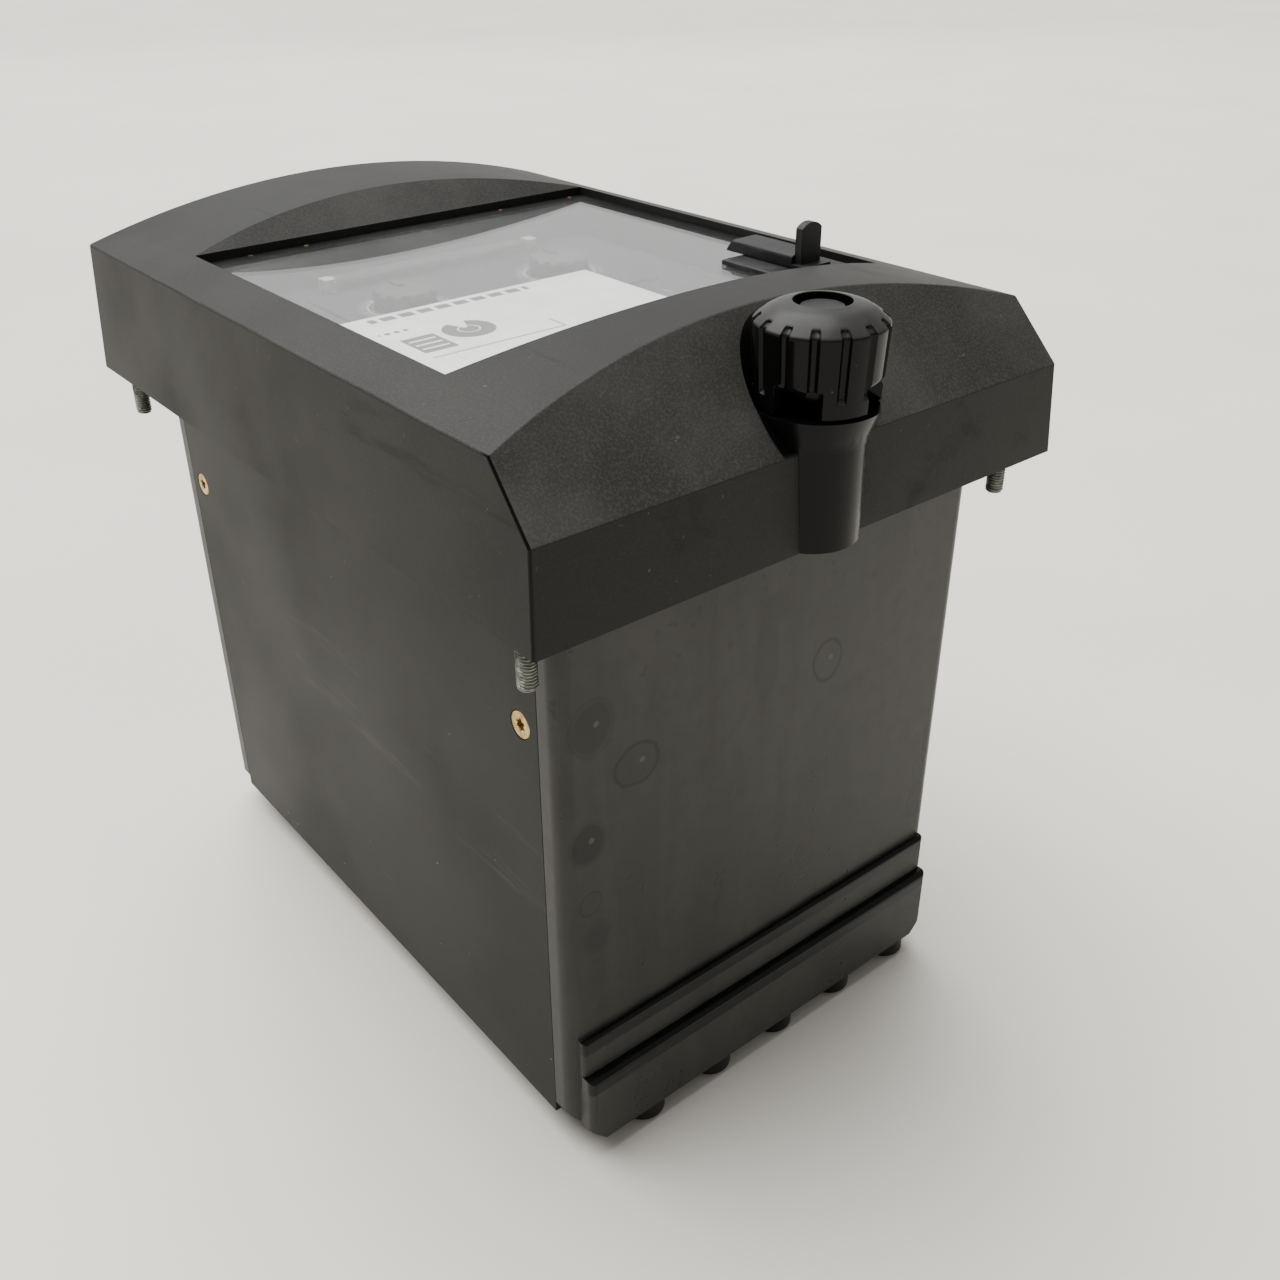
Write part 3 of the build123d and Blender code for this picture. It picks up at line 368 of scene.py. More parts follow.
# ---------------------------------------------------------------- material helpers
class Finish:
    """A new material with one Principled shader, and short ways to add patterns to it."""

    def __init__(self, name, colour, roughness, metallic=0.0, gloss=0.5):
        self.material = bpy.data.materials.new(name)
        self.material.use_nodes = True
        self.tree = self.material.node_tree
        self.shader = self.tree.nodes["Principled BSDF"]
        self.shader.inputs["Base Color"].default_value = (*colour, 1.0)
        self.shader.inputs["Roughness"].default_value = roughness
        self.shader.inputs["Metallic"].default_value = metallic
        self.shader.inputs["Specular IOR Level"].default_value = gloss
        self.place = self.node("ShaderNodeTexCoord").outputs["Object"]

    def node(self, kind, **settings):
        made = self.tree.nodes.new(kind)
        for key, value in settings.items():
            setattr(made, key, value)
        return made

    def feed(self, socket, value):
        """Links a socket, or sets a plain value."""
        if isinstance(value, bpy.types.NodeSocket):
            self.tree.links.new(value, socket)
        else:
            socket.default_value = value

    def mapped(self, scale, turn=(0, 0, 0)):
        """Object coordinates, scaled and turned."""
        mapping = self.node("ShaderNodeMapping")
        self.feed(mapping.inputs["Vector"], self.place)
        mapping.inputs["Scale"].default_value = scale
        mapping.inputs["Rotation"].default_value = turn
        return mapping.outputs["Vector"]

    def noise(self, scale, detail=3.0, roughness=0.55, where=None, distortion=0.0):
        """Cloudy noise from 0 to 1, with features about 1 / scale metres across."""
        made = self.node("ShaderNodeTexNoise")
        self.feed(made.inputs["Vector"], self.place if where is None else where)
        made.inputs["Scale"].default_value = scale
        made.inputs["Detail"].default_value = detail
        made.inputs["Roughness"].default_value = roughness
        made.inputs["Distortion"].default_value = distortion
        return made.outputs["Fac"]

    def cells(self, scale):
        """Distance to the nearest of scattered points."""
        made = self.node("ShaderNodeTexVoronoi")
        self.feed(made.inputs["Vector"], self.place)
        made.inputs["Scale"].default_value = scale
        return made.outputs["Distance"]

    def steps(self, value, low, high, to_low=0.0, to_high=1.0, soft=True):
        """The value carried from the range low..high to the range to_low..to_high."""
        made = self.node("ShaderNodeMapRange")
        made.interpolation_type = "SMOOTHSTEP" if soft else "LINEAR"
        for name, given in zip(
            ("Value", "From Min", "From Max", "To Min", "To Max"), (value, low, high, to_low, to_high)
        ):
            self.feed(made.inputs[name], given)
        return made.outputs["Result"]

    def maths(self, operation, a, b=0.0):
        made = self.node("ShaderNodeMath", operation=operation)
        self.feed(made.inputs[0], a)
        self.feed(made.inputs[1], b)
        return made.outputs[0]

    def times(self, a, b):
        return self.maths("MULTIPLY", a, b)

    def plus(self, a, b):
        return self.maths("ADD", a, b)

    def minus(self, a, b):
        return self.maths("SUBTRACT", a, b)

    def most(self, a, b):
        return self.maths("MAXIMUM", a, b)

    def reach(self, x, y):
        """How far x, y lies from zero."""
        return self.maths("SQRT", self.plus(self.maths("POWER", x, 2.0), self.maths("POWER", y, 2.0)))

    def wave(self, value, period):
        """The sine of a value, with the given period."""
        return self.maths("SINE", self.times(value, 2 * math.pi / period))

    def falls(self, value, start, width):
        """1 up to start, fading to 0 over the width."""
        return self.steps(value, start, start + width, 1.0, 0.0)

    def split(self, vector=None):
        """The x, y and z of a vector, or of the place on the object."""
        made = self.node("ShaderNodeSeparateXYZ")
        self.feed(made.inputs[0], self.place if vector is None else vector)
        return made.outputs

    def normal(self):
        """The x, y and z of the surface's own direction."""
        return self.split(self.node("ShaderNodeNewGeometry").outputs["Normal"])

    def between(self, value, low, high, soft):
        """1 where the value lies between low and high, fading over the soft distance."""
        return self.times(self.steps(value, low - soft, low), self.falls(value, high, soft))

    def blend(self, share, a, b):
        """A colour between a and b."""
        made = self.node("ShaderNodeMix", data_type="RGBA")
        self.feed(made.inputs[0], share)
        for name, given in (("A", a), ("B", b)):
            socket = [s for s in made.inputs if s.name == name and s.type == "RGBA"][0]
            self.feed(socket, given if isinstance(given, bpy.types.NodeSocket) else (*given, 1.0))
        return [s for s in made.outputs if s.type == "RGBA"][0]

    def colour(self, value):
        self.feed(self.shader.inputs["Base Color"], value)

    def rough(self, value):
        self.feed(self.shader.inputs["Roughness"], value)

    def bump(self, height, distance, strength=1.0, under=None):
        """Adds a bump of the given height in metres, over an earlier one."""
        made = self.node("ShaderNodeBump")
        self.feed(made.inputs["Height"], height)
        made.inputs["Distance"].default_value = distance
        made.inputs["Strength"].default_value = strength
        if under is not None:
            self.feed(made.inputs["Normal"], under)
        self.feed(self.shader.inputs["Normal"], made.outputs["Normal"])
        return made.outputs["Normal"]


def tone(colour, factor):
    """The colour made lighter or darker."""
    return tuple(min(1.0, channel * factor) for channel in colour)


def make_cover_moulding(name):
    """Charcoal moulding: a fine pebbled grain that is deepest on the slopes, where its pebble tops are
    painted lighter as a painted highlight, and pale dust and scuffs.

    The boss under the nut and the bottom end's upright corners are smooth and black.
    """
    finishes = bpy.context.scene.relay_finishes
    f = Finish(name, finishes.cover, 0.5, gloss=0.115)
    x, y, z = f.split()
    from_nut = f.reach(x, f.minus(y, middle("thumb_nut_clip")[1]))
    boss_radius, neck_radius = 15.6 * MM, 12.1 * MM
    boss_top, neck_top = 36 * MM, 25 * MM
    on_boss = f.times(f.falls(from_nut, boss_radius, 0.6 * MM), f.falls(z, boss_top, 1 * MM))
    in_neck = f.falls(from_nut, neck_radius, 0.3 * MM)
    boss = f.times(on_boss, f.most(in_neck, f.steps(z, neck_top, neck_top + 2 * MM)))
    across, _, facing_up = f.normal()
    sloped = f.between(facing_up, 0.45, 0.90, 0.12)
    clouds = f.noise(28.0, 4.0)
    settled = f.most(f.steps(facing_up, 0.2, 0.95, 0.0, 0.55), f.times(sloped, 2.0))
    dust = f.times(settled, f.steps(clouds, 0.35, 0.75, 0.25, 0.6))
    specks = f.steps(f.noise(620.0, 2.0), 0.72, 0.80)
    pebbles = f.noise(1700.0, 2.0, 0.6)
    shade = f.blend(f.steps(clouds, 0.3, 0.7), tone(finishes.cover, 0.9), tone(finishes.cover, 1.12))
    dusty = f.blend(f.times(dust, 0.5), shade, (0.075, 0.073, 0.068))
    # Painted highlight: on the sloped faces the pebble tops are painted lighter, as if they caught the light.
    lit = f.times(f.steps(pebbles, 0.40, 0.70), f.steps(sloped, 0.0, 1.0, 0.05, 0.24))
    grained = f.blend(lit, dusty, (0.10, 0.098, 0.092))
    specked = f.blend(f.times(specks, 0.35), grained, (0.16, 0.155, 0.14))
    near_end = f.falls(y, -103 * MM, 4 * MM)
    corner = f.times(f.between(f.maths("ABSOLUTE", across), 0.45, 0.90, 0.08), near_end)
    polished = f.most(boss, corner)
    f.colour(f.blend(polished, specked, finishes.knob))
    scuffs = f.steps(f.noise(46.0, 5.0, 0.7, f.mapped((1.0, 0.14, 1.0), turn=(0, 0, 0.5))), 0.58, 0.7)
    roughness = f.steps(f.plus(clouds, f.times(scuffs, 0.35)), 0.3, 1.0, 0.44, 0.62)
    f.rough(f.minus(roughness, f.times(polished, 0.26)))
    deep = f.times(f.minus(1.0, polished), f.steps(sloped, 0.0, 1.0, 0.35, 1.0))
    f.bump(f.times(pebbles, deep), 0.07 * MM, 0.6)
    return f.material


DRIED_MARKS = (  # centre x and z, half width and half height in mm, how dark inside, how dark its rim
    (-60.5, -31.4, 6.8, 8.2, 0.75, 0.35), (-47.0, -47.2, 7.4, 6.2, 0.20, 0.85),
    (-62.4, -64.0, 5.6, 6.8, 0.95, 0.35), (-62.0, -82.9, 3.4, 3.8, 0.10, 0.65),
    (-60.2, -94.4, 4.6, 5.6, 0.40, 0.25), (18.0, -43.8, 5.6, 6.6, 0.05, 0.85),
    (66.4, -89.3, 3.2, 6.0, 0.30, 0.60), (63.4, -112.0, 4.0, 6.6, 0.15, 0.60),
    (-3.0, -21.0, 5.4, 5.0, 0.30, 0.20), (-56.6, -118.8, 4.4, 3.8, 0.20, 0.20),
    (-5.0, -34.0, 5.0, 17.0, 0.30, 0.05), (30.0, -98.0, 6.0, 4.4, 0.15, 0.10),
)


def make_case_moulding(name):
    """Semi-gloss black moulding under a grey handling film, with dried drops, runs and glossy ledges kept
    clean and black, partly as a painted dark reflection.
    """
    finishes = bpy.context.scene.relay_finishes
    f = Finish(name, finishes.case, 0.3, gloss=0.19)
    x, y, z = f.split()
    wobble = f.times(f.times(f.minus(f.noise(140.0, 3.0), 0.5), 2.6 * MM), 130.0)
    stain = spots = 0.0
    for mark_x, mark_z, half_width, half_height, inside, rim in DRIED_MARKS:
        across = f.maths("DIVIDE", f.minus(x, mark_x * MM), half_width * MM)
        along = f.maths("DIVIDE", f.minus(z, mark_z * MM), half_height * MM)
        away = f.plus(f.reach(across, along), wobble)
        edge = f.times(f.between(away, 0.88, 0.97, 0.07), rim)
        filled = f.times(f.steps(away, 0.72, 0.95, 1.0, 0.0), inside)
        stain = f.most(stain, f.most(edge, filled))
        if max(inside, rim) > 0.7:
            drop_x = f.minus(x, (mark_x + 0.2 * half_width) * MM)
            drop_z = f.minus(z, (mark_z + 0.1 * half_height) * MM)
            spots = f.most(spots, f.falls(f.reach(drop_x, drop_z), 0.5 * MM, 0.6 * MM))
    under_cover = f.steps(z, -38 * MM, -18 * MM, 0.0, 0.6)
    splashes = f.times(f.steps(f.noise(190.0, 3.0, 0.6), 0.60, 0.68), under_cover)
    stain = f.most(stain, splashes)
    runs = f.noise(70.0, 4.0, 0.6, f.mapped((1.0, 1.0, 0.16)), 0.6)
    clouds = f.noise(24.0, 5.0, 0.6)
    fine = f.noise(210.0, 4.0, 0.65)
    ledge = f.most(
        f.between(z, -131.0 * MM, -126.6 * MM, 0.7 * MM), f.between(z, -143.8 * MM, -139.2 * MM, 0.7 * MM)
    )
    outward = f.steps(f.maths("ABSOLUTE", y), 105.2 * MM, 105.6 * MM)
    # The ledge bands lose the film and show black: partly their clean gloss, partly a painted dark reflection
    # of their glossy tops.
    ledge_clean_and_dark_reflection = f.times(ledge, outward)
    film = f.steps(f.plus(f.times(runs, 0.5), f.times(clouds, 0.6)), 0.38, 0.72, 0.55, 1.0)
    film = f.times(film, f.minus(1.0, f.times(ledge_clean_and_dark_reflection, 0.93)))
    shown = f.times(film, f.steps(stain, 0.0, 1.0, 1.0, 0.40, soft=False))
    base = f.blend(shown, tone(finishes.case, 0.45), finishes.film)
    mottled = f.blend(f.steps(fine, 0.45, 0.75, 0.0, 0.22), base, tone(finishes.film, 0.5))
    f.colour(f.blend(f.times(spots, 0.7), mottled, (0.085, 0.078, 0.062)))
    f.rough(f.plus(f.steps(film, 0.0, 1.0, 0.07, 0.40), f.steps(fine, 0.3, 0.8, -0.03, 0.05)))
    ripple = f.bump(f.noise(85.0, 2.0), 0.10 * MM, 0.25)
    f.bump(fine, 0.02 * MM, 0.2, ripple)
    return f.material


def make_side_paint(name):
    """Olive-grey baked paint on sheet steel: a fine orange-peel grain, rubs and a few bright nicks."""
    paint = bpy.context.scene.relay_finishes.paint
    f = Finish(name, paint, 0.5, gloss=0.11)
    clouds = f.noise(16.0, 4.0)
    fine = f.noise(1100.0, 2.0, 0.6)
    rubs = f.steps(f.noise(52.0, 5.0, 0.75, f.mapped((1.0, 0.10, 1.0), turn=(0.35, 0, 0))), 0.60, 0.72)
    nicks = f.steps(f.noise(420.0, 1.0), 0.80, 0.84)
    shade = f.blend(f.steps(clouds, 0.3, 0.7), tone(paint, 0.92), tone(paint, 1.08))
    grained = f.blend(f.steps(fine, 0.45, 0.75, 0.0, 0.55), shade, tone(paint, 1.45))
    rubbed = f.blend(f.times(rubs, 0.14), grained, (0.20, 0.195, 0.175))
    f.colour(f.blend(f.times(nicks, 0.5), rubbed, (0.30, 0.29, 0.26)))
    f.rough(f.steps(f.plus(clouds, f.times(rubs, 0.2)), 0.3, 0.9, 0.42, 0.56))
    under = f.bump(fine, 0.05 * MM, 0.5)
    f.bump(f.noise(38.0, 2.0), 0.35 * MM, 0.12, under)
    return f.material


def make_black(name, colour, roughness, grain, depth, dust):
    """Black moulding: grain size in 1 / metres, its depth, and how much pale dust lies on its top."""
    f = Finish(name, colour, roughness, gloss=0.15)
    clouds = f.noise(60.0, 4.0)
    up = f.steps(f.normal()[2], 0.15, 0.95)
    handled = f.steps(f.noise(180.0, 4.0, 0.65), 0.42, 0.70)
    laid = f.times(f.times(up, handled), dust)
    shade = f.blend(f.steps(clouds, 0.3, 0.7), tone(colour, 0.8), tone(colour, 1.5))
    f.colour(f.blend(laid, shade, (0.07, 0.068, 0.064)))
    bare = f.steps(clouds, 0.3, 0.75, roughness * 0.85, roughness * 1.25)
    f.rough(f.plus(bare, f.times(laid, 0.45)))
    f.bump(f.noise(grain, 3.0), depth, 0.4)
    return f.material


def make_knob(name):
    """Polished black phenolic, with an even grey haze on its up-facing dome, partly handling haze and partly
    a painted reflection of the light overhead, and a few specks.
    """
    black = bpy.context.scene.relay_finishes.knob
    f = Finish(name, black, 0.14, gloss=0.12)
    handled = f.steps(f.noise(110.0, 4.0, 0.6), 0.3, 0.7, 0.72, 1.0)
    # The up-facing dome is painted grey: partly handling haze, partly a painted reflection of the light
    # overhead.
    haze = f.times(f.steps(f.normal()[2], 0.12, 0.75), handled)
    specks = f.steps(f.noise(520.0, 2.0), 0.74, 0.80)
    dome_haze_and_sheen = f.blend(f.times(haze, 0.62), black, (0.062, 0.061, 0.058))
    f.colour(f.blend(f.times(specks, 0.4), dome_haze_and_sheen, (0.12, 0.118, 0.11)))
    f.rough(f.steps(haze, 0.0, 1.0, 0.14, 0.36))
    f.bump(f.noise(90.0, 2.0), 0.03 * MM, 0.3)
    return f.material


def make_metal(name, colour, tarnish, roughness, grain=900.0, stretch=(1, 1, 1)):
    """Plated or bare metal: a bright tone broken by dull tarnish, with a fine directional grain."""
    f = Finish(name, colour, roughness, 1.0)
    clouds = f.noise(260.0, 4.0, 0.65)
    lines = f.noise(grain, 3.0, 0.6, f.mapped(stretch))
    aged = f.steps(f.plus(clouds, f.times(lines, 0.35)), 0.5, 0.85)
    f.colour(f.blend(aged, colour, tarnish))
    f.rough(f.steps(f.plus(aged, lines), 0.2, 1.6, roughness * 0.75, roughness * 1.5))
    f.bump(lines, 0.02 * MM, 0.35)
    return f.material


def make_pane(name):
    """Clear acrylic pane: a sharp reflection, hair scratches and a thin haze of dust.

    Lamps shine through it, so what is behind it is lit.
    """
    clear = (0.97, 0.98, 0.97)
    f = Finish(name, clear, 0.03)
    f.shader.inputs["IOR"].default_value = 1.55
    hair = f.steps(f.noise(240.0, 3.0, 0.6, f.mapped((1.0, 0.05, 1.0), turn=(0, 0, 0.62))), 0.66, 0.72)
    rub = f.steps(f.noise(200.0, 3.0, 0.6, f.mapped((1.0, 0.06, 1.0), turn=(0, 0, -0.30))), 0.68, 0.73)
    patches = f.steps(f.noise(26.0, 3.0), 0.48, 0.66)
    worn = f.times(f.most(hair, rub), patches)
    dust = f.steps(f.noise(18.0, 4.0), 0.3, 0.7, 0.010, 0.022)
    film = f.plus(dust, f.times(worn, 0.08))
    f.feed(f.shader.inputs["Transmission Weight"], f.minus(1.0, film))
    f.rough(f.steps(worn, 0.0, 1.0, 0.02, 0.24))
    f.bump(worn, 0.03 * MM, 0.35)
    through = f.node("ShaderNodeBsdfTransparent")
    through.inputs["Color"].default_value = (*clear, 1.0)
    path = f.node("ShaderNodeLightPath")
    lit = f.node("ShaderNodeMixShader")
    output = f.tree.nodes["Material Output"]
    f.feed(lit.inputs[0], path.outputs["Is Shadow Ray"])
    f.feed(lit.inputs[1], f.shader.outputs[0])
    f.feed(lit.inputs[2], through.outputs[0])
    f.feed(output.inputs["Surface"], lit.outputs[0])
    return f.material


def make_label(name):
    """White printed film: plain bars and rules, a grey block with pale bars, and a notched grey disc."""
    white = bpy.context.scene.relay_finishes.label
    f = Finish(name, white, 0.4)
    x, y, _ = f.split()
    paper = f.blend(f.steps(f.noise(90.0, 3.0), 0.3, 0.7), white, tone(white, 0.93))

    def inside(centre_x, centre_y, half_x, half_y):
        """1 inside a rectangle given in millimetres."""
        along = f.between(x, (centre_x - half_x) * MM, (centre_x + half_x) * MM, 0.12 * MM)
        across = f.between(y, (centre_y - half_y) * MM, (centre_y + half_y) * MM, 0.12 * MM)
        return f.times(along, across)

    top_bars = f.times(inside(-34.0, -14.0, 24.0, 1.5), f.steps(f.wave(x, 5.4 * MM), -0.75, -0.6))
    small_bars = f.times(inside(-57.5, -25.0, 4.0, 0.7), f.steps(f.wave(x, 2.6 * MM), -0.3, 0.0))
    rule = inside(-41.0, -47.5, 19.0, 0.22)
    end_rule = inside(-22.0, -44.0, 0.2, 3.5)
    block = inside(-55.0, -37.6, 4.6, 6.0)
    pale_bars = f.times(inside(-55.0, -37.6, 3.6, 5.0), f.steps(f.wave(y, 3.2 * MM), 0.55, 0.8))
    off_x = f.minus(x, -41.6 * MM)
    off_y = f.minus(y, -34.2 * MM)
    from_disc = f.reach(off_x, off_y)
    disc = f.falls(from_disc, 6.6 * MM, 0.3 * MM)
    heading = f.maths("ARCTAN2", off_x, off_y)
    notch = f.times(f.between(heading, -0.34, 0.34, 0.05), f.steps(from_disc, 1.2 * MM, 1.5 * MM))
    ring = f.between(from_disc, 2.6 * MM, 2.9 * MM, 0.1 * MM)
    disc = f.times(disc, f.minus(1.0, f.most(notch, ring)))
    ink = f.most(f.minus(block, pale_bars), disc)
    for shape in (top_bars, small_bars, rule, end_rule):
        ink = f.most(ink, shape)
    f.colour(f.blend(f.times(ink, 0.8), paper, (0.10, 0.10, 0.105)))
    f.rough(f.steps(f.noise(300.0, 2.0), 0.3, 0.7, 0.32, 0.5))
    f.bump(f.noise(700.0, 2.0), 0.01 * MM, 0.3)
    return f.material


def make_scale_plate(name):
    """Satin plate painted near-black as painted shade of the case's dim inside, with a pale scale round each
    dial: an arc and its ticks, and no lettering.
    """
    f = Finish(name, (0.010, 0.010, 0.011), 0.42, gloss=0.2)
    x, y, _ = f.split()
    brushed = f.noise(900.0, 3.0, 0.6, f.mapped((0.04, 1.0, 1.0)))
    ink = 0.0
    for node in ("pickup_dial_knob", "time_dial_knob"):
        dial_x, dial_y, _ = middle(node)
        off_x = f.minus(x, dial_x)
        off_y = f.minus(y, dial_y)
        reach = f.reach(off_x, off_y)
        turn = f.maths("ARCTAN2", off_x, off_y)
        shown = f.falls(f.maths("ABSOLUTE", turn), 2.48, 0.02)
        arc = f.between(reach, 10.6 * MM, 10.9 * MM, 0.06 * MM)
        ticks = f.steps(f.maths("COSINE", f.times(turn, 25.2)), 0.90, 0.96)
        marks = f.times(ticks, f.between(reach, 10.9 * MM, 13.4 * MM, 0.06 * MM))
        ink = f.most(ink, f.times(shown, f.most(arc, marks)))
    # The plate's near-black tones are painted shade of the inside of the case.
    plain = f.blend(f.steps(brushed, 0.3, 0.7), (0.008, 0.008, 0.009), (0.013, 0.013, 0.014))
    f.colour(f.blend(ink, plain, (0.42, 0.42, 0.40)))
    f.rough(f.steps(brushed, 0.3, 0.7, 0.34, 0.50))
    f.bump(brushed, 0.015 * MM, 0.3)
    return f.material


def make_board(name):
    """Green solder mask over copper tracks, which show as slightly paler raised lines."""
    mask = (0.012, 0.075, 0.028)
    f = Finish(name, mask, 0.28)
    tracks = f.node("ShaderNodeTexBrick")
    f.feed(tracks.inputs["Vector"], f.mapped((120, 120, 120), turn=(0, math.pi / 2, 0)))
    tracks.inputs["Mortar Size"].default_value = 0.035
    lines = tracks.outputs["Fac"]
    pads = f.steps(f.cells(230.0), 0.10, 0.16, 1.0, 0.0)
    tracked = f.blend(f.times(lines, 0.7), mask, (0.05, 0.19, 0.07))
    f.colour(f.blend(pads, tracked, (0.55, 0.55, 0.52)))
    f.rough(f.steps(pads, 0, 1, 0.24, 0.38))
    f.bump(f.plus(lines, pads), 0.05 * MM, 0.5)
    return f.material


def make_plastic(name, colour, roughness):
    """Coloured moulding with a faint mottle and fine grain."""
    f = Finish(name, colour, roughness)
    clouds = f.noise(120.0, 3.0)
    f.colour(f.blend(f.steps(clouds, 0.3, 0.7), tone(colour, 0.88), tone(colour, 1.1)))
    f.rough(f.steps(clouds, 0.3, 0.7, roughness * 0.85, roughness * 1.2))
    f.bump(f.noise(1400.0, 2.0), 0.02 * MM, 0.3)
    return f.material


def make_laminations(name):
    """Stacked transformer steel: thin dark joints between sheets, dulled with varnish."""
    f = Finish(name, (0.16, 0.16, 0.17), 0.45, 1.0)
    sheets = f.wave(f.split()[0], 0.5 * MM)
    f.colour(f.blend(f.steps(sheets, -0.6, 0.4), (0.03, 0.028, 0.026), (0.20, 0.195, 0.19)))
    f.rough(f.steps(f.noise(200.0, 3.0), 0.3, 0.7, 0.34, 0.58))
    f.bump(sheets, 0.06 * MM, 0.5)
    return f.material


def make_tape(name):
    """Yellow winding tape: overlapping turns with a darker edge."""
    yellow = (0.55, 0.38, 0.05)
    f = Finish(name, yellow, 0.3)
    turns = f.wave(f.split()[2], 6.0 * MM)
    f.colour(f.blend(f.steps(turns, 0.75, 0.95), yellow, (0.26, 0.17, 0.02)))
    f.rough(f.steps(f.noise(160.0, 3.0), 0.3, 0.7, 0.22, 0.4))
    f.bump(turns, 0.12 * MM, 0.4)
    return f.material


MAKERS = {  # what makes a finish, and its settings; a word among them names one of the chosen colours
    "cover_moulding": (make_cover_moulding,),
    "case_moulding": (make_case_moulding,),
    "side_paint": (make_side_paint,),
    "clear_pane": (make_pane,),
    "label_stock": (make_label,),
    "relay_scale": (make_scale_plate,),
    "circuit_board": (make_board,),
    "core_steel": (make_laminations,),
    "coil_tape": (make_tape,),
    "black_gloss": (make_knob,),
    "black_lever": (make_black, (0.014, 0.014, 0.014), 0.42, 900.0, 0.03 * MM, 0.3),
    "inner_moulding": (make_black, "inner", 0.4, 700.0, 0.03 * MM, 0.25),
    "flange_paint": (make_black, (0.02, 0.02, 0.02), 0.4, 1100.0, 0.04 * MM, 0.2),
    # The panel's near-black colour is painted shade of the inside of the case.
    "panel_paint": (make_black, (0.010, 0.010, 0.011), 0.5, 1100.0, 0.03 * MM, 0.15),
    "component_black": (make_black, (0.012, 0.012, 0.012), 0.45, 1500.0, 0.02 * MM, 0.1),
    "gasket_rubber": (make_black, (0.02, 0.02, 0.02), 0.8, 900.0, 0.08 * MM, 0.3),
    "rivet_brass": (make_metal, (0.20, 0.13, 0.05), (0.05, 0.035, 0.016), 0.5),
    "zinc_steel": (make_metal, "zinc", (0.16, 0.165, 0.14), 0.42),
    "yellow_zinc": (make_metal, "yellow_zinc", (0.34, 0.22, 0.08), 0.27),
    "brass": (make_metal, "brass", (0.18, 0.11, 0.04), 0.36),
    "relay_sheet": (make_metal, (0.56, 0.56, 0.53), (0.36, 0.36, 0.33), 0.38, 700.0, (1, 1, 0.04)),
    "capacitor_sleeve": (make_plastic, (0.02, 0.05, 0.20), 0.25),
    "relay_cube": (make_plastic, (0.62, 0.58, 0.44), 0.35),
    "flag_orange": (make_plastic, (0.80, 0.14, 0.02), 0.5),
    "indicator_red": (make_plastic, (0.42, 0.01, 0.008), 0.12),
}
MATERIALS = {}


def finish_material(key):
    """The material for one finish, made once."""
    if key not in MATERIALS:
        maker, *settings = MAKERS[key]
        finishes = bpy.context.scene.relay_finishes
        chosen = [getattr(finishes, s) if isinstance(s, str) else s for s in settings]
        MATERIALS[key] = maker(key, *chosen)
    return MATERIALS[key]


# ---------------------------------------------------------------- operators
class RELAY_OT_front_cover(bpy.types.Operator):
    """Finish the arched front cover: the moulded shell with softened edges."""

    bl_idname = "relay.front_cover"
    bl_label = "Front Cover"

    def execute(self, context):
        soften("front_cover", "cover_moulding", 0.4 * MM, 32.0)
        return {"FINISHED"}


class RELAY_OT_window(bpy.types.Operator):
    """Finish the window: the clear pane, its retaining frame and its rivets."""

    bl_idname = "relay.window"
    bl_label = "Window"

    def execute(self, context):
        soften("window_pane", "clear_pane", 0.25 * MM, 40.0)
        dress_node("pane_retainer", "inner_moulding")
        self.rivets()
        return {"FINISHED"}

    def rivets(self):
        """Domed rivet heads: the radius falls as a cosine and the height rises as a sine."""
        base_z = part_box("pane_rivets")[0].z
        head_radius, head_height, rim_height = 0.8 * MM, 0.30 * MM, 0.05 * MM
        rows = [(head_radius * 0.96, base_z)]
        last_turn = 1.45
        for share in np.linspace(0, 1, 7):
            turn = share * last_turn
            rows.append((head_radius * np.cos(turn), base_z + rim_height + head_height * np.sin(turn)))
        made = [turned_rows(rows, 20, x, y) for x, y in solid_centres("pane_rivets")]
        new_piece("pane_rivets", "pane_rivet_heads", made, "rivet_brass")


class RELAY_OT_window_label(bpy.types.Operator):
    """Finish the white label behind the pane."""

    bl_idname = "relay.window_label"
    bl_label = "Window Label"

    def execute(self, context):
        dress_node("window_label", "label_stock")
        return {"FINISHED"}


class RELAY_OT_reset_slide(bpy.types.Operator):
    """Finish the reset guide, the slider with its finger tab, and the flat spring."""

    bl_idname = "relay.reset_slide"
    bl_label = "Reset Slide"

    def execute(self, context):
        soften("reset_slider", "black_lever", 0.3 * MM, segments=3)
        soften("reset_guide", "black_lever", 0.2 * MM)
        dress_node("reset_spring", "zinc_steel")
        return {"FINISHED"}


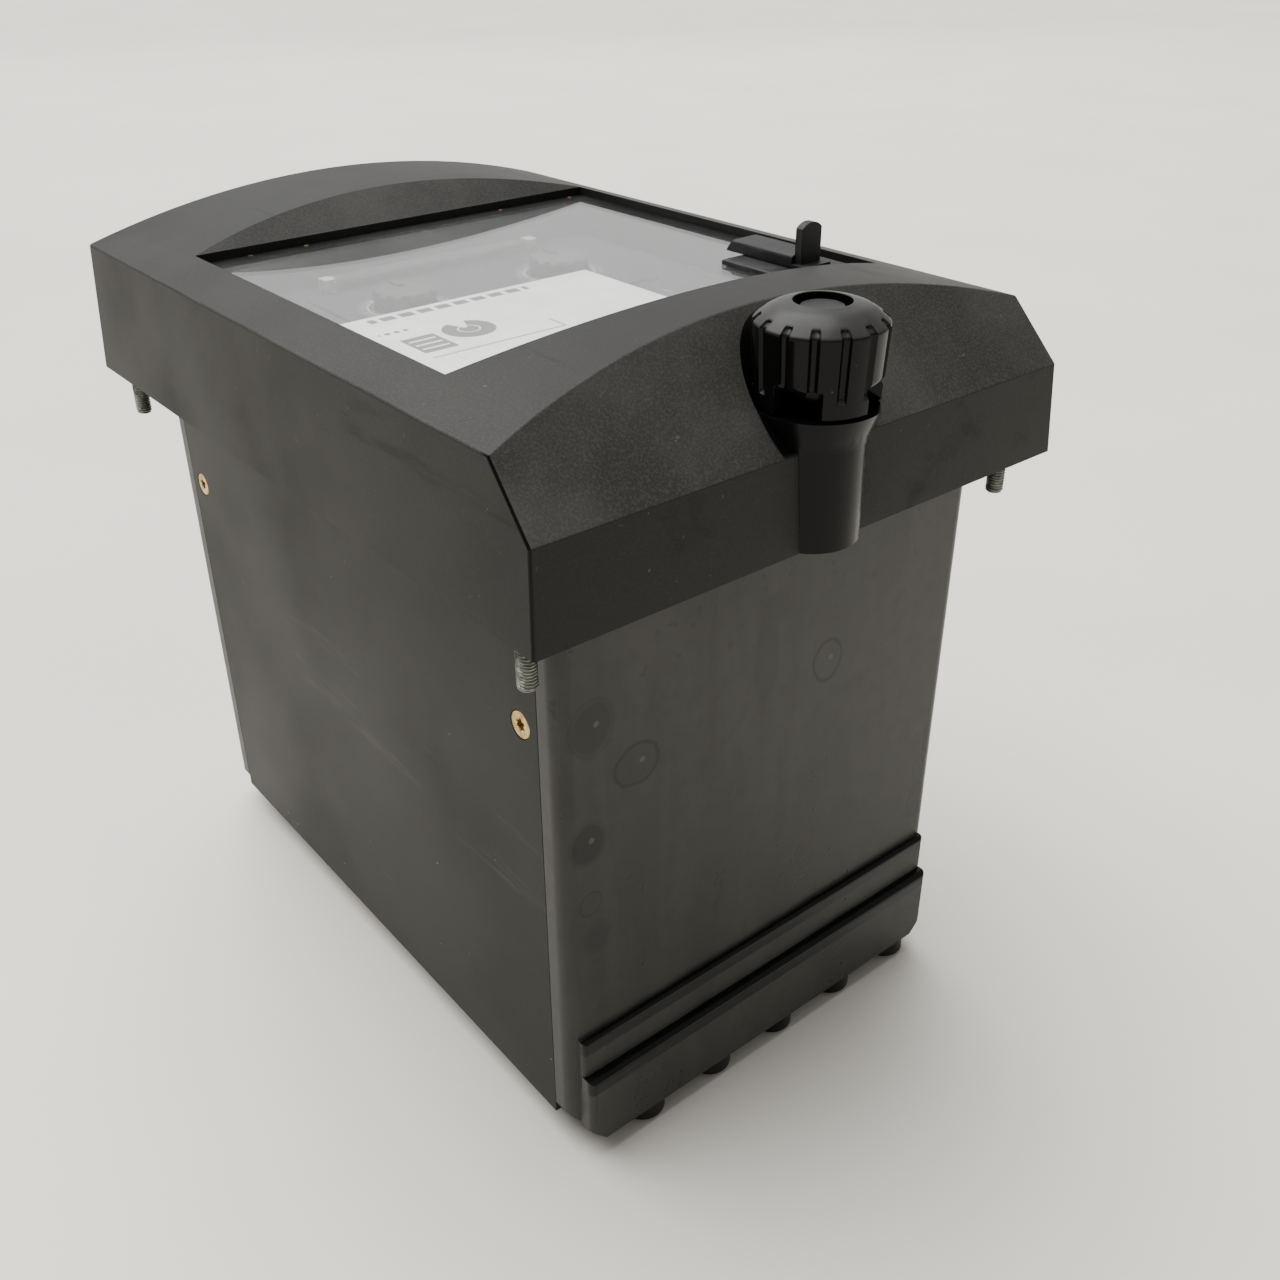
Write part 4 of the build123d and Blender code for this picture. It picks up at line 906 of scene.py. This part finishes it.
class RELAY_OT_thumb_nut(bpy.types.Operator):
    """Build the grooved thumb nut knob, and finish its insert and clip."""

    bl_idname = "relay.thumb_nut"
    bl_label = "Thumb Nut"

    def execute(self, context):
        self.knob(context.scene.relay_sizes)
        dress_node("thumb_nut_insert", "black_lever")
        dress_node("thumb_nut_clip", "zinc_steel")
        return {"FINISHED"}

    def knob(self, sizes):
        """The knob is a profile turned round its axis, with its radius cut back in two ways.

        A groove takes off its depth times a half circle of the way round, along the knob's side. A
        notch pulls the radius in to the hub where the angle is near a quarter turn, counted from the
        middle between two grooves, and the height is low.
        """
        low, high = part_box("thumb_nut_knob")
        bottom, top = low.z, high.z
        rim_radius = (high.x - low.x) / 2
        foot_radius = rim_radius - 0.9 * MM
        shoulder = top - 4.4 * MM
        hole_radius, hub_radius, hole_depth = 6.5 * MM, 7.0 * MM, 4.0 * MM
        axis_radius = 0.4 * MM
        corners = [
            (axis_radius, bottom), (foot_radius, bottom), (rim_radius, shoulder),
            (rim_radius - 2.2 * MM, top - 2.5 * MM), (rim_radius - 5.0 * MM, top - 0.9 * MM),
            (hole_radius, top), (hole_radius, top - hole_depth), (axis_radius, top - hole_depth),
        ]
        rounding = [0.5 * MM, 0.6 * MM, 1.3 * MM, 1.5 * MM, 0.4 * MM, 0.2 * MM]
        profile = refined(rounded_profile(corners, rounding, 7), 0.55 * MM)
        columns = 560
        angle = angles(columns)
        radius = np.repeat(profile[:, 0][:, None], columns, 1)
        height = np.repeat(profile[:, 1][:, None], columns, 1)
        outside = np.arange(len(profile))[:, None] <= np.argmax(profile[:, 1])

        pitch = 2 * math.pi / sizes.knob_grooves
        groove_half = 1.15 * MM
        from_groove = np.abs(angle % pitch - pitch / 2) * rim_radius
        groove = np.sqrt(np.clip(1 - (from_groove / groove_half) ** 2, 0, 1))
        along = eased(height, bottom + 3.6 * MM, bottom + 4.6 * MM)
        near_side = eased(radius, rim_radius - 2.2 * MM, rim_radius - 1.0 * MM)
        radius = radius - sizes.groove_depth * groove * along * near_side * outside

        notch_half = 5.4 * MM / foot_radius
        notch_top = bottom + sizes.notch_height
        quarter = np.abs((angle - pitch + math.pi / 4) % (math.pi / 2) - math.pi / 4)
        notch = eased(-quarter, -notch_half - 0.006, -notch_half + 0.006)
        notch = notch * eased(-height, -notch_top - 0.15 * MM, -notch_top + 0.15 * MM)
        radius = radius * (1 - notch) + np.minimum(radius, hub_radius) * notch
        axis_x, axis_y = (low.x + high.x) / 2, middle("thumb_nut_clip")[1]
        made = [turned_grid(radius, height, axis_x, axis_y)]
        new_piece("thumb_nut_knob", "thumb_nut_knob_finished", made, "black_gloss", 40)


class RELAY_OT_flange(bpy.types.Operator):
    """Finish the mounting flange and gasket, and cut the threads of the studs."""

    bl_idname = "relay.flange"
    bl_label = "Mounting Flange"

    def execute(self, context):
        soften("mounting_flange", "flange_paint", 0.3 * MM)
        dress_node("cover_gasket", "gasket_rubber")
        radius = 2.4 * MM
        low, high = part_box("panel_studs")
        spots = [(x, y) for x in (low.x + radius, high.x - radius) for y in (low.y + radius, high.y - radius)]
        made = [threaded_rod(x, y, high.z, low.z, radius) for x, y in spots]
        new_piece("panel_studs", "panel_studs_threaded", made, "zinc_steel", 60)
        low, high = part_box("cover_stud")
        x, y, _ = middle("cover_stud")
        made = [threaded_rod(x, y, low.z, high.z, radius)]
        new_piece("cover_stud", "cover_stud_threaded", made, "zinc_steel", 60)
        return {"FINISHED"}


def threaded_rod(x, y, root_z, tip_z, radius):
    """A screw thread: the radius falls from its crest by a triangle wave of height minus turn.

    The wave's period is the pitch, and it advances by one pitch a turn. The last stretch tapers.
    """
    sizes = bpy.context.scene.relay_sizes
    length = abs(tip_z - root_z)
    rows_per_turn, columns = 9, 28
    rows = int(length / sizes.thread_pitch * rows_per_turn)
    plain_length, taper_length, taper_depth = 0.9 * MM, 0.8 * MM, 0.55 * MM
    share = np.linspace(0, 1, rows)[:, None]
    turn = np.linspace(0, 1, columns, endpoint=False)[None, :]
    phase = (share * length / sizes.thread_pitch - turn) % 1.0
    wave = np.clip(np.abs(phase - 0.5) * 2.6 - 0.15, 0, 1)
    cut = np.clip((share * length - plain_length) / (0.5 * MM), 0, 1)
    taper = np.clip((share * length - (length - taper_length)) / taper_length, 0, 1)
    reach = radius - sizes.thread_depth * (1 - wave) * cut - taper * taper_depth
    height = np.repeat(root_z + share * (tip_z - root_z), columns, 1)
    return turned_grid(reach, height, x, y)


class RELAY_OT_side_plates(bpy.types.Operator):
    """Finish the painted side plates and build their countersunk star-recess screws."""

    bl_idname = "relay.side_plates"
    bl_label = "Side Plates"

    def execute(self, context):
        for node in ("left_side_plate", "right_side_plate"):
            soften(node, "side_paint", 0.25 * MM, 40.0)
        low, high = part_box("side_plate_screws")
        head_radius, length = 3.6 * MM, 7.1 * MM
        made = []
        for side in (-1, 1):
            turned = np.array(Matrix.Rotation(side * math.pi / 2, 3, "Y"))
            for y in (low.y + head_radius, high.y - head_radius):
                points, faces = star_screw(head_radius, length)
                place = np.array([side * high.x, y, (low.z + high.z) / 2])
                made.append((points @ turned.T + place, faces))
        new_piece("side_plate_screws", "side_plate_star_screws", made, "yellow_zinc", 40)
        return {"FINISHED"}


def star_screw(head_radius, length):
    """A countersunk screw along Z with its head at the top, z = 0, and a six-lobed recess.

    The head is a polar grid whose depth is 1.3 mm inside the star's radius, which swings with six
    waves of the angle. The cone and shank are turned below it.
    """
    columns = 72
    star = 1.55 * MM + 0.32 * MM * np.cos(6 * angles(columns))
    rows = [(0.2 * MM, -length), (1.1 * MM, -length), (1.6 * MM, -length + 0.8 * MM),
            (1.6 * MM, -2.0 * MM), (head_radius - 0.15 * MM, -0.25 * MM), (head_radius, -0.12 * MM)]
    rows += [(head_radius * share, 0.04 * MM * (1 - share)) for share in (0.97, 0.9, 0.75, 0.6)]
    recess = ((1.06, 0.0), (1.0, -0.10), (0.97, -0.5), (0.93, -1.25), (0.5, -1.35), (0.1, -1.5))
    rows += [(star * factor, depth * MM) for factor, depth in recess]
    return turned_rows(rows, columns, 0.0, 0.0)


class RELAY_OT_end_walls(bpy.types.Operator):
    """Finish the moulded end walls with their rounded ledges."""

    bl_idname = "relay.end_walls"
    bl_label = "End Walls"

    def execute(self, context):
        for node in ("bottom_end_wall", "top_end_wall"):
            soften(node, "case_moulding", 0.5 * MM, 32.0, 3)
        return {"FINISHED"}


class RELAY_OT_terminals(bpy.types.Operator):
    """Finish the rear terminal base, its saddles, and build the slotted terminal screws."""

    bl_idname = "relay.terminals"
    bl_label = "Rear Terminals"

    def execute(self, context):
        soften("rear_terminal_base", "inner_moulding", 0.35 * MM)
        dress_node("terminal_saddles", "brass")
        dress_node("terminal_bars", "brass")
        low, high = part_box("terminal_screws")
        terminal_count = 20
        centres = solid_centres("terminal_saddles")
        if len(centres) != terminal_count:
            raise RuntimeError(f"expected {terminal_count} terminals and found {len(centres)}")
        turn_step = 0.9
        made = [slotted_screw(x, y, low.z, high.z, turn_step * k) for k, (x, y) in enumerate(centres)]
        new_piece("terminal_screws", "terminal_slotted_screws", made, "brass", 40)
        return {"FINISHED"}


def slotted_screw(x, y, tip_z, shank_z, turn):
    """A binding-head screw, head down at tip_z, with a slot across it at the given angle.

    The head is a polar grid. Its face is a shallow dome, lifted by the slot's depth where a point
    lies within half the slot's width of the slot's line.
    """
    columns = 56
    head_radius, shank_radius = 4.4 * MM, 2.2 * MM
    dome_height, slot_depth, slot_half, slot_edge = 0.7 * MM, 1.3 * MM, 0.75 * MM, 0.12 * MM
    rows = []
    for share in (0.02, 0.12, 0.2, 0.35, 0.5, 0.65, 0.78, 0.88, 0.95, 1.0):
        reach = head_radius * share
        across = np.abs(reach * np.sin(angles(columns) - turn))
        cut = np.clip((slot_half - across) / slot_edge, 0, 1) * slot_depth
        rows.append((reach, tip_z + np.maximum(dome_height * share**3, cut)))
    edge = ((4.4, 1.4), (4.35, 2.4), (4.2, 2.6), (2.3, 2.6), (2.2, 2.9))
    rows += [(reach * MM, tip_z + level * MM) for reach, level in edge]
    rows.append((shank_radius, shank_z))
    return turned_rows(rows, columns, x, y)


class RELAY_OT_case_inside(bpy.types.Operator):
    """Finish what stays inside the case: contact blocks and guide rails."""

    bl_idname = "relay.case_inside"
    bl_label = "Inside the Case"

    def execute(self, context):
        for node in ("bottom_case_contacts", "top_case_contacts", "guide_rails"):
            dress_node(node, "inner_moulding")
        return {"FINISHED"}


class RELAY_OT_plugs(bpy.types.Operator):
    """Finish the two connection plugs and their blades."""

    bl_idname = "relay.plugs"
    bl_label = "Connection Plugs"

    def execute(self, context):
        for end in ("bottom", "top"):
            soften(f"{end}_connection_plug", "inner_moulding", 0.5 * MM)
            dress_node(f"{end}_plug_blades", "brass")
        return {"FINISHED"}


class RELAY_OT_relay(bpy.types.Operator):
    """Finish the draw-out relay: its panel, sheet frame, boards and components."""

    bl_idname = "relay.relay"
    bl_label = "Draw-out Relay"

    def execute(self, context):
        # The front panel's near-black paint is painted shade of the inside of the case.
        soften("relay_front_panel", "panel_paint", 0.25 * MM)
        for node, body in BODY_OF.items():
            if body == "relay" and node != "relay_front_panel":
                dress_node(node, "relay_scale" if node == "dial_scale_plate" else SLOT_OF[node])
        return {"FINISHED"}


class RELAY_OT_dials(bpy.types.Operator):
    """Finish the two setting dials, the target flags and the pull latches."""

    bl_idname = "relay.dials"
    bl_label = "Dials, Flags and Latches"

    def execute(self, context):
        for node in ("pickup_dial_knob", "time_dial_knob"):
            soften(node, "black_gloss", 0.2 * MM)
        for node in ("left_target_flag", "right_target_flag"):
            dress_node(node, "flag_orange")
        for node in ("bottom_draw_latch", "top_draw_latch"):
            dress_node(node, "black_lever")
        return {"FINISHED"}


class RELAY_OT_stage(bpy.types.Operator):
    """Set up the pale floor, the soft studio light and the camera."""

    bl_idname = "relay.stage"
    bl_label = "Studio"

    def execute(self, context):
        stage = context.scene.relay_stage
        self.floor(stage)
        world = bpy.data.worlds.new("pale_room")
        world.use_nodes = True
        back = world.node_tree.nodes["Background"]
        back.inputs["Color"].default_value = (*stage.sky, 1.0)
        back.inputs["Strength"].default_value = stage.sky_strength
        context.scene.world = world
        self.lamp("overhead", "SUN", (-0.08, 0.42, 1.0), (0, 0, 0),
                  energy=stage.key_strength, angle=math.radians(62.0))
        softbox = self.lamp("behind", "AREA", (1.25, 1.6, 1.15), (0, 0, 0.02),
                            energy=stage.back_power, size=2.2)
        softbox.visible_camera = False
        self.camera(context.scene, stage)
        return {"FINISHED"}

    def floor(self, stage):
        """A wide square under the object, in a pale finish with a faint mottle."""
        half = 30.0
        floor_z = design_box[0][2]
        corners = [(x * half, y * half, floor_z) for x, y in ((-1, -1), (1, -1), (1, 1), (-1, 1))]
        mesh = bpy.data.meshes.new("floor")
        mesh.from_pydata(corners, [], [(0, 1, 2, 3)])
        floor = put_in_scene("floor", mesh)
        f = Finish("pale_floor", stage.floor, 0.6)
        f.colour(f.blend(f.steps(f.noise(5.0, 5.0), 0.3, 0.7), tone(stage.floor, 0.95), stage.floor))
        mesh.materials.append(f.material)

    def lamp(self, name, kind, eye, target, **settings):
        """A soft light at eye that faces the target. The overhead one is as wide as a ceiling."""
        light = bpy.data.lights.new(name, kind)
        for key, value in settings.items():
            setattr(light, key, value)
        lamp = put_in_scene(name, light)
        aim = Vector(target) - Vector(eye)
        lamp.matrix_world = Matrix.Translation(eye) @ aim.to_track_quat("-Z", "Y").to_matrix().to_4x4()
        return lamp

    def camera(self, scene, stage):
        """The camera at the object's bottom left corner, a little above it."""
        data = bpy.data.cameras.new("camera")
        data.sensor_width = 36.0
        data.lens = stage.lens
        data.shift_x = 0.0236
        data.shift_y = -0.0162
        data.clip_start = 0.01
        data.clip_end = 50.0
        view = put_in_scene("camera", data)
        eye = Vector((-208.5, -302.5, 138.5)) * MM
        aim = Vector((13.9, -17.0, -68.5)) * MM
        roll = math.radians(-0.96)
        turn = (aim - eye).to_track_quat("-Z", "Y").to_matrix().to_4x4()
        view.matrix_world = Matrix.Translation(eye) @ turn @ Matrix.Rotation(roll, 4, "Z")
        scene.camera = view


OPERATORS = (
    RELAY_OT_stage,
    RELAY_OT_front_cover,
    RELAY_OT_window,
    RELAY_OT_window_label,
    RELAY_OT_reset_slide,
    RELAY_OT_thumb_nut,
    RELAY_OT_flange,
    RELAY_OT_side_plates,
    RELAY_OT_end_walls,
    RELAY_OT_terminals,
    RELAY_OT_case_inside,
    RELAY_OT_plugs,
    RELAY_OT_relay,
    RELAY_OT_dials,
)


class RELAY_PT_panel(bpy.types.Panel):
    """Lists the relay's sizes, finishes and building steps in the sidebar."""

    bl_idname = "RELAY_PT_panel"
    bl_label = "Draw-out Relay"
    bl_space_type = "VIEW_3D"
    bl_region_type = "UI"
    bl_category = "Relay"

    def draw(self, context):
        layout = self.layout
        for group in ("relay_sizes", "relay_finishes", "relay_stage"):
            column = layout.column(align=True)
            settings = getattr(context.scene, group)
            for name in settings.__annotations__:
                column.prop(settings, name)
        for operator in OPERATORS:
            layout.operator(operator.bl_idname)


GROUPS = {"relay_sizes": RelaySizes, "relay_finishes": RelayFinishes, "relay_stage": RelayStage}


def register():
    """Registers the settings, the operators and the panel."""
    for name, group in GROUPS.items():
        bpy.utils.register_class(group)
        setattr(bpy.types.Scene, name, PointerProperty(type=group))
    for operator in OPERATORS:
        bpy.utils.register_class(operator)
    bpy.utils.register_class(RELAY_PT_panel)


def unregister():
    """Takes back what register added."""
    bpy.utils.unregister_class(RELAY_PT_panel)
    for operator in reversed(OPERATORS):
        bpy.utils.unregister_class(operator)
    for name, group in reversed(GROUPS.items()):
        delattr(bpy.types.Scene, name)
        bpy.utils.unregister_class(group)


def main():
    register()
    for operator in OPERATORS:
        group, call = operator.bl_idname.split(".")
        getattr(getattr(bpy.ops, group), call)()


if __name__ == "__main__":
    main()
